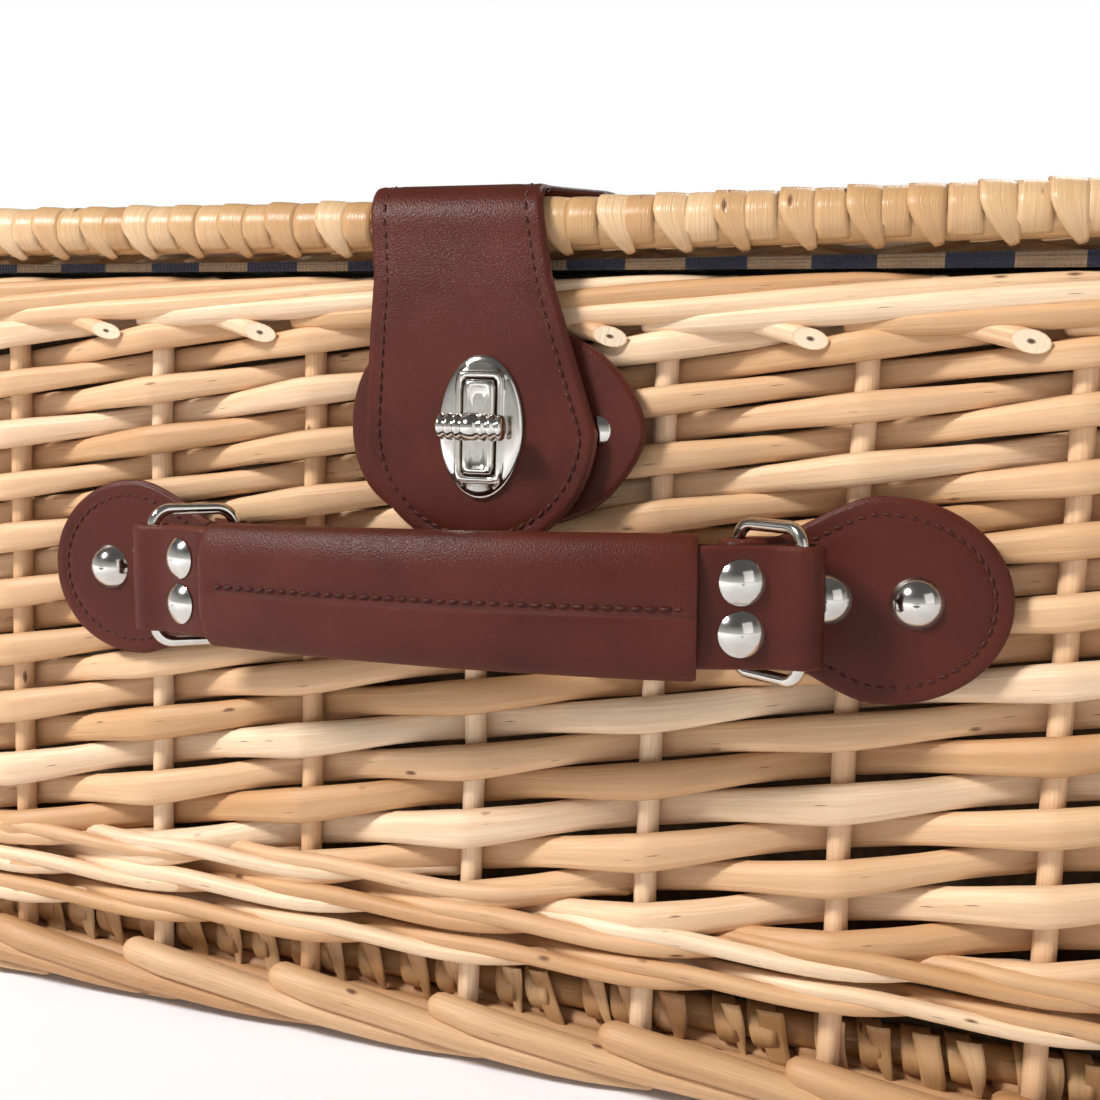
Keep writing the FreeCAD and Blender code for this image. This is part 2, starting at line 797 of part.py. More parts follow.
def make_patch(name, side):
    """A teardrop patch whose tip loops round the ring's inner bar."""
    body, planes = make_body(f"patch_{name}")
    face = make_sketch(body, planes, "XZ_Plane", f"patch_{name}_outline")
    big, neck = "patch_round", "patch_neck / 2"
    far, near = f"{side} * patch_middle", f"{side} * bar_place"
    bulge = float(side)
    edge = [(near, f"-{neck}"), (far, f"-{big}", bulge), (far, big), (near, neck)]
    outline(face, "edge", edge)
    pad(body, face, f"patch_{name}_pad", "patch_leather", start="weave_half")
    knuckle = make_sketch(body, planes, "XY_Plane", f"patch_{name}_loop")
    circle(knuckle, "loop", "loop_radius", near, "-bar_out")
    feature = pad(body, knuckle, f"patch_{name}_loop_pad", "patch_neck")
    feature.Midplane = True
    bore = make_sketch(body, planes, "XY_Plane", f"patch_{name}_bore")
    circle(bore, "bore", "loop_bore", near, "-bar_out")
    pocket_through(body, bore, f"patch_{name}_bore_cut")
    body.Placement = tilt_at()
    rivets = [p for p in handle_rivets if (p.x - size("handle_shift")) * float(side) > 0]
    label = f"handle_patch_{name}"
    kept(with_holes(label, body, rivets, OUT, 3 * size("leather")), label)


def make_ring(name, side):
    """A rectangular wire ring, standing off the wall at the ring angle."""
    radius, tall, reach = size("ring_round"), size("ring_tall"), size("ring_reach")
    turn = FreeCAD.Rotation(Vec(0, 0, 1), -float(side) * size("ring_angle"))
    spot = Vec(float(side) * size("bar_place"), -size("bar_out"), 0)
    path = make_ring_path(float(side) * reach, tall / 2, radius)
    profile = Part.Wire(Part.makeCircle(size("wire_radius"), Vec(), Vec(0, 0, 1)))
    thing = doc.addObject("Part::Feature", f"ring_{name}")
    thing.Shape = path.makePipeShell([profile], True, False)
    thing.Placement = tilt_at(FreeCAD.Placement(spot, turn))
    kept(thing, f"ring_{name}")


def make_ring_path(reach, half, radius):
    """A rounded rectangle in the XZ plane that starts half way up the bar at x = 0."""
    way = math.copysign(1, reach)
    bend = radius * math.sqrt(0.5)
    corners = [
        (0, half, 0, -1, way, 0),
        (reach, half, -way, 0, 0, -1),
        (reach, -half, 0, 1, -way, 0),
        (0, -half, way, 0, 0, 1),
    ]
    edges, last = [], Vec(0, 0, 0)
    for x, z, ax, az, bx, bz in corners:
        corner = Vec(x, 0, z)
        first, second = corner + Vec(ax, 0, az) * radius, corner + Vec(bx, 0, bz) * radius
        centre = corner + Vec(ax + bx, 0, az + bz) * radius
        middle = centre - Vec(ax + bx, 0, az + bz) * bend
        edges.append(Part.LineSegment(last, first).toShape())
        edges.append(Part.Arc(first, middle, second).toShape())
        last = second
    edges.append(Part.LineSegment(last, Vec(0, 0, 0)).toShape())
    return Part.Wire(edges)


def end_link():
    """The end strap's length and angle at rest, from the ring's outer bar to the grip's end."""
    angle = math.radians(size("ring_angle"))
    bar = (
        size("bar_place") + size("ring_reach") * math.cos(angle),
        size("bar_out") + size("ring_reach") * math.sin(angle),
    )
    dx, dy = bar[0] - size("end_place"), size("end_out") - bar[1]
    return math.hypot(dx, dy), math.degrees(math.atan2(dy, dx))


def make_end(name, side):
    """The doubled strap end that loops round the ring's outer bar, and its two rivets."""
    length, angle = end_link()
    way = float(side)
    half = size("end_thickness") / 2
    tall = size("end_tall")
    down = Vec(0, 0, -tall / 2)
    slab = Part.makeBox(length, 2 * half, tall, Vec(0 if way > 0 else -length, -half, -tall / 2))
    nose = Part.makeCylinder(half, tall, down)
    loop = Part.makeCylinder(size("end_loop_radius"), tall, down + Vec(way * length, 0, 0))
    bore = Part.makeCylinder(size("end_loop_bore"), tall, down + Vec(way * length, 0, 0))
    rise = size("end_rivet_pitch") / 2
    spots = [Vec(way * size("end_rivet"), -half, s * rise) for s in (-1, 1)]
    clear = size("rivet_shank") + size("stake_play")
    before = Vec(0, -half, 0)
    holes = [Part.makeCylinder(clear, 4 * half, p + before, BACKWARD) for p in spots]
    strap = doc.addObject("Part::Feature", f"end_{name}")
    strap.Shape = slab.fuse([nose, loop]).removeSplitter().cut([bore] + holes)
    turn = FreeCAD.Rotation(Vec(0, 0, 1), way * angle)
    place = tilt_at(FreeCAD.Placement(Vec(way * size("end_place"), -size("end_out"), 0), turn))
    strap.Placement = place
    kept(strap, f"handle_end_{name}")
    depth = 2 * half + size("end_rivet_tail")
    rivets = dome_rivet(f"end_rivets_{name}", "small_head", "small_dome", depth, spots, OUT)
    rivets.Placement = place
    kept(rivets, f"handle_end_rivets_{name}")


def bowed(name, thickness, tall, half):
    """A bowed bar with half-round edges, turned about an upright axis behind the handle."""
    body, planes = make_body(name)
    section = make_sketch(body, planes, "YZ_Plane", f"{name}_section")
    middle = "-(end_out + grip_bow)"
    near, far = f"{middle} - ({thickness}) / 2", f"{middle} + ({thickness}) / 2"
    high = f"({tall}) / 2 - ({thickness}) / 2"
    outline(section, "edge", [(near, f"-({high})", 1), (far, f"-({high})"), (far, high, 1), (near, high)])
    bow_radius = "(grip_half^2 + grip_bow^2) / (2 * grip_bow)"
    place = f"{middle} + {bow_radius}"
    top = Vec(worked(place), 10, 0)
    axis = section.addGeometry(Part.LineSegment(Vec(top.x, 0, 0), top), True)
    section.addConstraint(Sketcher.Constraint("Vertical", axis))
    section.addConstraint(Sketcher.Constraint("PointOnObject", axis, 1, -1))
    section.addConstraint(Sketcher.Constraint("DistanceY", axis, 1, axis, 2, 10))
    dimension(section, "axis_place", Sketcher.Constraint("DistanceX", -1, 1, axis, 1, top.x), place)
    turned = body.newObject("PartDesign::Revolution", f"{name}_turned")
    turned.Profile = section
    turned.ReferenceAxis = (section, ["Axis0"])
    turned.Midplane = True
    turned.setExpression("Angle", bound(f"2 * asin(({half}) / ({bow_radius}))"))
    section.Visibility = False
    doc.recompute()
    return body


def make_grip():
    """A bowed leather sleeve round a core."""
    sleeve = bowed("sleeve_bar", "grip_thickness", "grip_tall", "grip_half")
    inside = "grip_thickness - 2 * grip_leather"
    inside_tall = "grip_tall - 2 * grip_leather"
    loose, loose_tall = f"{inside} + 2 * stake_play", f"{inside_tall} + 2 * stake_play"
    core = bowed("grip_core", inside, inside_tall, "grip_half - overrun")
    room = bowed("grip_room", loose, loose_tall, "grip_half + 2 * overrun")
    for body in (sleeve, core, room):
        body.Placement = tilt_at()
    kept(cut("handle_sleeve", sleeve, room), "handle_sleeve")
    kept(core, "handle_core")


# ---------------------------------------------------------------- build, check and write

make_walls()
make_base()
make_body_lining()
make_lid()
make_clasp()
make_knob()
make_hinges()
make_rivets()
for hand, sign in (("left", "-1"), ("right", "1")):
    make_patch(hand, sign)
    make_ring(hand, sign)
    make_end(hand, sign)
make_grip()
doc.recompute()

for item in doc.Objects:
    assert not {"Invalid", "Error"} & set(item.State), f"{item.Name} failed"
for item in SHAPES:
    assert not item.Shape.isNull() and item.Shape.isValid(), f"{item.Label} has a bad shape"

os.makedirs("parts", exist_ok=True)
for item in SHAPES:
    item.Shape.exportStep(os.path.join("parts", f"{item.Label}.step"))
print(f"{len(SHAPES)} sub-parts written")
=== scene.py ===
"""Looks of the wicker picnic hamper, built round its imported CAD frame. Metres, +X right, -Y front, +Z up."""

import math

import bpy
import numpy as np
from mathutils import Matrix, Vector


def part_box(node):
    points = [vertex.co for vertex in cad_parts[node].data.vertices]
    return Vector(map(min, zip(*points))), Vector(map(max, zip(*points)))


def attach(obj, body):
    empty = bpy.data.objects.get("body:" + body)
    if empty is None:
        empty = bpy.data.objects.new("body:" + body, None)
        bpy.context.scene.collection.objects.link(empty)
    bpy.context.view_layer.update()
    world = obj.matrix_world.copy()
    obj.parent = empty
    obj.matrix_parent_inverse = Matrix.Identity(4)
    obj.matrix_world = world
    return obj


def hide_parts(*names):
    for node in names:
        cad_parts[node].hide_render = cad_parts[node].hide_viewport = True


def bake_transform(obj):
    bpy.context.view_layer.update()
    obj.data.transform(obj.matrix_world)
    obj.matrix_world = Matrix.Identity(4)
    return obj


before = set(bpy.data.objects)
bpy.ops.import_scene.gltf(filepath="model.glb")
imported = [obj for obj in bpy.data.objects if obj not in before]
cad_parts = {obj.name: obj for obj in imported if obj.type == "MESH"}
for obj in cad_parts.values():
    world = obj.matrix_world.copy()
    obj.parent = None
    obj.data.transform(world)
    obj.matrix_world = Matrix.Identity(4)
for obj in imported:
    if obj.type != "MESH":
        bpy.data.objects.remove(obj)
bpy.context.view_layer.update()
RNG = np.random.default_rng(7)
MM = 0.001

# ---------------------------------------------------------------- places taken from the frame


def low(node):
    """The least corner of a CAD node's box."""
    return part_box(node)[0]


def high(node):
    """The greatest corner of a CAD node's box."""
    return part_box(node)[1]


def mm(values):
    """A list of sizes in millimetres, in metres."""
    return np.array(values) * MM


STAKE = 2.5 * MM
HALF_X = high("wall_stakes").x - STAKE
FRONT_Y = low("wall_stakes").y + STAKE
BACK_Y = high("wall_stakes").y - STAKE
MID_Y = (FRONT_Y + BACK_Y) / 2
HALF_Y = (BACK_Y - FRONT_Y) / 2
CORNER = 8.5 * MM
PITCH = 41.5 * MM
SIDE_PITCH = 41.0 * MM
FOOT_TOP = high("foot_border").z
WALE_LOW = low("lower_wale").z
WALE_TOP = high("lower_wale").z
WEAVE_TOP = high("woven_wall_front").z
LID_TOP = high("lid_rim_wrap").z

# ---------------------------------------------------------------- mesh building


class Strands:
    """Collects rods and ribbons into one mesh, with UVs along each and a tone of its own for each."""

    def __init__(self):
        self.verts, self.faces, self.uvs = [], [], []
        self.tones, self.cuts = [], []
        self.count = 0

    def add(self, verts, faces, uvs, tone, cut=0.0):
        self.verts.append(np.asarray(verts, float))
        self.faces += [tuple(int(i) + self.count for i in face) for face in faces]
        self.uvs.append(np.asarray(uvs, float))
        self.tones.append(np.full(len(verts), tone))
        self.cuts.append(np.full(len(verts), cut) if np.isscalar(cut) else np.asarray(cut, float))
        self.count += len(verts)

    def mesh(self, name, material, body, replaces=(), slot=None):
        data = bpy.data.meshes.new(name)
        verts = np.concatenate(self.verts)
        data.from_pydata(verts.tolist(), [], self.faces)
        for label, values in (("tone", self.tones), ("cut", self.cuts)):
            layer = data.attributes.new(label, "FLOAT", "POINT")
            layer.data.foreach_set("value", np.concatenate(values))
        corner_verts = np.empty(len(data.loops), int)
        data.loops.foreach_get("vertex_index", corner_verts)
        uv = data.uv_layers.new(name="along")
        uv.data.foreach_set("uv", np.concatenate(self.uvs)[corner_verts].ravel())
        return finish_piece(name, data, material, body, replaces)


def finish_piece(name, data, material, body, replaces=()):
    """Make the object for a mesh, smooth it, hang it on its body and hide the frame parts it replaces.

    body is a body's name, or (body, body, start, end) for a piece across a joint, which is only baked in place
    and hung on no body.
    """
    data.materials.append(material)
    data.polygons.foreach_set("use_smooth", [True] * len(data.polygons))
    thing = bpy.data.objects.new(name, data)
    bpy.context.scene.collection.objects.link(thing)
    if isinstance(body, str):
        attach(thing, body)
    else:
        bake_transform(thing)
    if replaces:
        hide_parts(*replaces)
    return thing


def unit(rows):
    """Each row as a unit vector."""
    return rows / np.maximum(np.linalg.norm(rows, axis=1, keepdims=True), 1e-12)


def distance_along(points):
    """How far along a run each of its points is."""
    return np.concatenate([[0], np.cumsum(np.linalg.norm(np.diff(points, axis=0), axis=1))])


def resample(points, places):
    """Points at places along a run."""
    along = distance_along(points)
    return np.stack([np.interp(places, along, column) for column in points.T], axis=-1)


def squared(wave, power):
    """A sine or cosine raised to a power with its sign kept, for ovals with squarer sides."""
    return np.sign(wave) * np.abs(wave) ** power


def grid_faces(rows, wide):
    """Quads between rows of points, with wide points in each row."""
    starts = [i * wide + j for i in range(rows - 1) for j in range(wide - 1)]
    return [(a, a + 1, a + wide + 1, a + wide) for a in starts]


def ring_faces(rings, sides):
    """Quads between closed rings of points, with sides points in each ring."""
    pairs = [(i * sides + j, i * sides + (j + 1) % sides) for i in range(rings - 1) for j in range(sides)]
    return [(a, b, b + sides, a + sides) for a, b in pairs]


def rod(strands, path, thick, tall, tone, up=(0, 0, 1), sides=8, square=2.0, ends="round", slant=0.0):
    """One rod: an oval section swept along a path.

    thick and tall are half sizes across and up, each a number or one per point. ends is
    round, flat or open; slant leans a flat far end by that many radii.
    """
    path = np.asarray(path, float)
    n = len(path)
    tangent = unit(np.gradient(path, axis=0))
    up = np.broadcast_to(np.asarray(up, float), (n, 3))
    side = unit(np.cross(tangent, up))
    up = np.cross(side, tangent)
    thick = np.broadcast_to(np.asarray(thick, float), n).copy()
    tall = np.broadcast_to(np.asarray(tall, float), n).copy()
    angle = np.arange(sides) / sides * 2 * math.pi + math.pi / sides
    across = squared(np.cos(angle), 2 / square)
    along_up = squared(np.sin(angle), 2 / square)
    if ends == "round":
        grow = [0.45, 0.8]
        first = [path[0] - tangent[0] * thick[0] * k for k in (0.9, 0.55)]
        last = [path[-1] + tangent[-1] * thick[-1] * k for k in (0.55, 0.9)]
        path = np.vstack([first, path, last])
        thick = np.concatenate([thick[0] * np.array(grow), thick, thick[-1] * np.array(grow[::-1])])
        tall = np.concatenate([tall[0] * np.array(grow), tall, tall[-1] * np.array(grow[::-1])])
        side = np.vstack([side[:1], side[:1], side, side[-1:], side[-1:]])
        up = np.vstack([up[:1], up[:1], up, up[-1:], up[-1:]])
        n += 4
    rings = (
        path[:, None, :]
        + side[:, None, :] * (thick[:, None] * across)[:, :, None]
        + up[:, None, :] * (tall[:, None] * along_up)[:, :, None]
    )
    if slant:
        rings[-1] += tangent[-1] * (slant * thick[-1] * across)[:, None]
    length = distance_along(path)
    girth = angle / (2 * math.pi) * (thick.mean() + tall.mean()) * math.pi
    shift = RNG.random(2) * 5
    uvs = np.stack(np.broadcast_arrays(girth[None, :] + shift[0], length[:, None] + shift[1]), axis=-1)
    faces = ring_faces(n, sides)
    if ends == "round":
        faces.append(tuple(range(sides))[::-1])
        faces.append(tuple((n - 1) * sides + j for j in range(sides)))
    strands.add(rings.reshape(-1, 3), faces, uvs.reshape(-1, 2), tone)
    if ends == "flat":
        for row, way in ((0, -1), (n - 1, 1)):
            cap = np.vstack([rings[row], rings[row].mean(axis=0)])
            loop = [(j, (j + 1) % sides, sides) for j in range(sides)]
            loop = [f if way > 0 else f[::-1] for f in loop]
            spread = np.vstack([np.stack([np.cos(angle), np.sin(angle)], 1) * thick[row], [[0, 0]]])
            strands.add(cap, loop, spread, tone, np.array([1.0] * sides + [2.0]))


# ---------------------------------------------------------------- the course round the hamper

RUN_X = 2 * (HALF_X - CORNER)
RUN_Y = 2 * (HALF_Y - CORNER)
BEND = CORNER * math.pi / 2
LENGTH = 2 * (RUN_X + RUN_Y) + 4 * BEND


def on_course(along, out, z):
    """Points in space from places along the line through the stakes, distances out of it and levels.

    The course starts at the left of the front wall and goes right on every wall, seen from outside.
    """
    along = np.mod(np.asarray(along, float), LENGTH)
    out = np.broadcast_to(np.asarray(out, float), along.shape)
    x, y = np.zeros_like(along), np.zeros_like(along)
    nx, ny = np.zeros_like(along), np.zeros_like(along)
    start = 0.0
    ix, iy = HALF_X - CORNER, HALF_Y - CORNER
    walls = [(RUN_X, -ix, -iy, 0), (RUN_Y, ix, -iy, 1), (RUN_X, ix, iy, 2), (RUN_Y, -ix, iy, 3)]
    for run, cx, cy, quarter in walls:
        dx, dy = [(1, 0), (0, 1), (-1, 0), (0, -1)][quarter]
        inside = (along >= start) & (along < start + run)
        here = along[inside] - start
        nx[inside], ny[inside] = dy, -dx
        x[inside] = cx + dx * here + dy * CORNER
        y[inside] = cy + dy * here - dx * CORNER
        start += run
        inside = (along >= start) & (along <= start + BEND)
        turn = (along[inside] - start) / CORNER + math.atan2(-dx, dy)
        nx[inside], ny[inside] = np.cos(turn), np.sin(turn)
        x[inside] = cx + dx * run + np.cos(turn) * CORNER
        y[inside] = cy + dy * run + np.sin(turn) * CORNER
        start += BEND
    return np.column_stack([x + nx * out, MID_Y + y + ny * out, np.broadcast_to(z, len(along))])


def post_places():
    """Where each upright stands along the course, corners included, in order."""
    long_run = [RUN_X / 2 + k * PITCH for k in range(-5, 6)]
    short_run = [RUN_Y / 2 + k * SIDE_PITCH for k in range(-3, 4)]
    places, start = [], 0.0
    for run, local in ((RUN_X, long_run), (RUN_Y, short_run)) * 2:
        places += [start + p for p in local]
        places.append(start + run + BEND / 2)
        start += run + BEND
    return np.array(places)


POSTS = post_places()
# Each wall's own posts come before its corner post: 11 on a long wall and 7 on a short one.
CORNERS = {11, 19, 31, 39}


def post(index):
    """A post's place along the course; the index may go past a whole turn."""
    turns, index = divmod(int(index), len(POSTS))
    return POSTS[index] + turns * LENGTH


# ---------------------------------------------------------------- materials


class Nodes:
    """Short names for building a node tree."""

    def __init__(self, name):
        self.material = bpy.data.materials.new(name)
        self.material.use_nodes = True
        self.tree = self.material.node_tree
        self.tree.nodes.clear()
        self.shader = self.tree.nodes.new("ShaderNodeBsdfPrincipled")
        output = self.tree.nodes.new("ShaderNodeOutputMaterial")
        self.link(self.shader.outputs[0], output.inputs["Surface"])

    def link(self, a, b):
        self.tree.links.new(a, b)

    def feed(self, socket, value):
        """Link a socket to another node's output, or give it a value."""
        if isinstance(value, bpy.types.NodeSocket):
            self.link(value, socket)
        elif socket.type == "RGBA":
            socket.default_value = (*value, 1)
        else:
            socket.default_value = value

    def node(self, kind, inputs=None, **settings):
        made = self.tree.nodes.new(f"ShaderNode{kind}")
        for key, value in settings.items():
            setattr(made, key, value)
        for key, value in (inputs or {}).items():
            self.feed(made.inputs[key], value)
        return made

    def ramp(self, factor, stops):
        made = self.node("ValToRGB", {"Fac": factor})
        ramp = made.color_ramp
        while len(ramp.elements) < len(stops):
            ramp.elements.new(0.5)
        for element, (place, colour) in zip(ramp.elements, stops):
            element.position = place
            element.color = (*colour, 1)
        return made.outputs["Color"]

    def mix(self, factor, a, b):
        made = self.node("Mix", data_type="RGBA")
        for index, value in ((0, factor), (6, a), (7, b)):
            self.feed(made.inputs[index], value)
        return made.outputs[2]

    def maths(self, operation, a, b=0.0):
        return self.node("Math", {0: a, 1: b}, operation=operation).outputs[0]

    def times(self, a, b):
        return self.maths("MULTIPLY", a, b)

    def plus(self, a, b):
        return self.maths("ADD", a, b)

    def uv(self):
        """The UVs that every piece has, in metres."""
        return self.node("UVMap", uv_map="along").outputs[0]

    def attribute(self, name):
        return self.node("Attribute", attribute_name=name).outputs["Fac"]

    def spread(self, value, low_end, high_end):
        """A value from 0 to 1 mapped onto another range."""
        return self.node("MapRange", {"Value": value, "To Min": low_end, "To Max": high_end}).outputs[0]

    def scaled(self, vector, scale):
        return self.node("Mapping", {"Vector": vector, "Scale": scale}).outputs[0]

    def noise(self, vector, scale, detail=3.0, rough=0.5, distortion=0.0):
        settings = {"Vector": vector, "Scale": scale, "Detail": detail}
        settings |= {"Roughness": rough, "Distortion": distortion}
        return self.node("TexNoise", settings).outputs["Fac"]

    def bump(self, height, strength, distance):
        made = self.node("Bump", {"Height": height, "Strength": strength, "Distance": distance})
        return made.outputs["Normal"]

    def set(self, **values):
        """Feed the surface shader's own sockets, and give back the finished material."""
        names = {"colour": "Base Color", "rough": "Roughness", "metal": "Metallic", "normal": "Normal"}
        names |= {"specular": "Specular IOR Level", "sheen": "Sheen Weight"}
        for key, value in values.items():
            self.feed(self.shader.inputs[names[key]], value)
        return self.material


BLACK, WHITE = (0, 0, 0), (1, 1, 1)
BARK = (0.13, 0.045, 0.02)
PITH = (0.10, 0.045, 0.02)
BLUSH = (0.62, 0.30, 0.16)


def willow(name, dark, mid, light, shine=0.5):
    """Peeled willow: fine grain along the rod, a tone for each rod, blushes and small knots."""
    m = Nodes(name)
    tone, cut = m.attribute("tone"), m.attribute("cut")
    shift = m.node("CombineXYZ", {"Z": m.times(tone, 37.0)}).outputs[0]
    place = m.node("VectorMath", {0: m.uv(), 1: shift}, operation="ADD").outputs[0]
    blotch = m.noise(m.scaled(place, (60, 22, 1)), 1.0, 2.0)
    mixed = m.plus(m.times(tone, 0.62), m.times(blotch, 0.38))
    colour = m.ramp(mixed, [(0.12, dark), (0.5, mid), (0.88, light)])
    grain = m.noise(m.scaled(place, (2600, 60, 1)), 1.0, 3.0, 0.6)
    streak = m.ramp(grain, [(0.35, WHITE), (0.62, BLACK)])
    colour = m.mix(m.times(streak, 0.34), colour, dark)
    blush = m.ramp(m.noise(m.scaled(place, (90, 9, 1)), 1.0, 2.0), [(0.5, BLACK), (0.72, WHITE)])
    colour = m.mix(m.times(blush, 0.22), colour, BLUSH)
    knots = m.node("TexVoronoi", {"Vector": m.scaled(place, (230, 78, 3)), "Scale": 1.0, "Randomness": 1.0})
    spot = m.ramp(knots.outputs["Distance"], [(0.07, WHITE), (0.15, BLACK)])
    chance = m.node("SeparateColor", {"Color": knots.outputs["Color"]}).outputs[0]
    spot = m.times(spot, m.ramp(chance, [(0.66, BLACK), (0.68, WHITE)]))
    colour = m.mix(m.times(spot, 0.92), colour, BARK)
    face = m.ramp(m.maths("SUBTRACT", cut, 1.0), [(0.0, mid), (0.12, light), (0.72, light), (0.86, PITH)])
    colour = m.mix(m.maths("GREATER_THAN", cut, 0.5), colour, face)
    rough = m.spread(blotch, shine - 0.08, shine + 0.12)
    height = m.maths("SUBTRACT", m.times(grain, 0.6), spot)
    return m.set(colour=colour, rough=rough, normal=m.bump(height, 0.55, 0.0005), specular=0.42)


BUFF = willow("willow_rod", (0.50, 0.26, 0.105), (0.76, 0.49, 0.28), (0.90, 0.71, 0.50))
SKEIN = willow("willow_skein", (0.37, 0.18, 0.065), (0.56, 0.335, 0.155), (0.75, 0.53, 0.31), shine=0.3)
FOOT = willow("willow_foot", (0.40, 0.19, 0.07), (0.63, 0.38, 0.195), (0.75, 0.54, 0.34))
LID_WARP = 3.0 * MM
LID_CROWN = 5.0 * MM
HEM = 4.2 * MM
CHECK_REPEAT = 0.026
# Where in the check the lid cloth starts, so that its hem is a row of navy and tan.
HEM_ROW = 0.014


def check_cloth():
    """Woven check of navy and tan squares on a cream ground, with its thread weave as bump."""
    m = Nodes("check_cloth")
    uv = m.uv()
    stripe = []
    for part in m.node("SeparateXYZ", {0: uv}).outputs[:2]:
        phase = m.maths("FRACT", m.times(part, 1 / CHECK_REPEAT))
        stripe.append(m.maths("GREATER_THAN", phase, 0.5))
    navy, tan, cream = (0.012, 0.016, 0.04), (0.30, 0.20, 0.115), (0.62, 0.52, 0.38)
    colour = m.mix(m.maths("MAXIMUM", *stripe), cream, tan)
    colour = m.mix(m.times(*stripe), colour, navy)
    warp = m.node("TexWave", {"Vector": m.scaled(uv, (1, 0, 0)), "Scale": 330.0}, wave_type="BANDS")
    weft = m.node("TexWave", {"Vector": m.scaled(uv, (0, 1, 0)), "Scale": 330.0}, bands_direction="Y")
    weave = m.plus(warp.outputs["Fac"], weft.outputs["Fac"])
    slub = m.noise(m.scaled(uv, (300, 300, 1)), 1.0)
    colour = m.mix(m.times(slub, 0.25), colour, (0.05, 0.04, 0.03))
    return m.set(colour=colour, rough=0.85, normal=m.bump(weave, 0.5, 0.0003), sheen=0.2)


def backing():
    """The back of the check cloth, coloured as painted shade: the dark warm brown seen through the gaps in the
    weave.
    """
    m = Nodes("cloth_back_painted_shade")
    slub = m.noise(m.scaled(m.uv(), (400, 400, 1)), 1.0)
    # Painted shade: two dark warm browns stand in for the shadow behind the weave.
    colour = m.ramp(slub, [(0.3, (0.045, 0.026, 0.009)), (0.7, (0.095, 0.056, 0.022))])
    return m.set(colour=colour, rough=0.9)


CHECK = check_cloth()
CLOTH_BACK_AND_SHADE = backing()

# ---------------------------------------------------------------- wickerwork


def make_weave():
    """Slanting rand: each rod starts at its own post and climbs one row for each post it passes."""
    strands = Strands()
    rows = 19
    low_row, climb, ease = WALE_TOP + 4.5 * MM, 8.27 * MM, 0.0706 * MM
    steps = np.array([0.0, 0.035, 0.09, 0.17, 0.28, 0.4, 0.5, 0.6, 0.72, 0.83, 0.91, 0.965])
    wave = 0.55 * (1 - 2 * steps) + 0.45 * np.cos(math.pi * steps)
    for first in range(len(POSTS)):
        size, tone = RNG.uniform(0.93, 1.07), RNG.random()
        along, out, level, thick, tall = [], [], [], [], []
        lift = RNG.normal(0, 0.35 * MM, rows + 2)
        for row in range(-1, rows):
            here, after = post(first + row), post(first + row + 1)
            reach = (STAKE + (2.25 - 0.02 * row) * MM) * (1 if row % 2 == 0 else -1)
            reach *= 1.35 if (first + row) % len(POSTS) in CORNERS else 1.0
            sunk = 3.5 * MM if row < 0 else 0.0
            z0 = low_row + climb * row - ease * row * row + lift[row + 1] + sunk
            z1 = low_row + climb * (row + 1) - ease * (row + 1) ** 2 + lift[row + 2]
            along.append(here + (after - here) * steps)
            out.append(reach * wave)
            level.append(z0 + (z1 - z0) * steps)
            narrow = 1 - 0.17 * np.sin(math.pi * steps) ** 2
            tall.append((4.45 - 0.068 * row) * MM * size * narrow)
            thick.append(np.full(len(steps), (2.25 - 0.02 * row) * MM * size))
        path = on_course(np.concatenate(along), np.concatenate(out), np.concatenate(level))
        rod(strands, path, np.concatenate(thick), np.concatenate(tall), tone, sides=10, square=2.35)
    walls = [f"woven_wall_{side}" for side in ("front", "back", "left", "right")]
    strands.mesh("weavers", BUFF, "basket", walls, "willow")


def make_stakes():
    """Upright stakes with slightly uneven thickness."""
    for name, indexes, radius in (
        ("wall_stakes", [i for i in range(len(POSTS)) if i not in CORNERS], STAKE),
        ("corner_posts", sorted(CORNERS), 4.5 * MM),
    ):
        strands = Strands()
        bottom, top = low(name).z - 1 * MM, high(name).z + 4 * MM
        level = np.linspace(bottom, top, 14)
        for index in indexes:
            path = on_course(np.full(14, post(index)) + RNG.normal(0, 0.15 * MM, 14), 0.0, level)
            radii = radius * (1 + RNG.normal(0, 0.02, 14))
            rod(strands, path, radii, radii, RNG.uniform(0.3, 0.9), up=(0, 1, 0.01), sides=12)
        strands.mesh(f"{name}_rods", BUFF, "basket", [name], "willow")


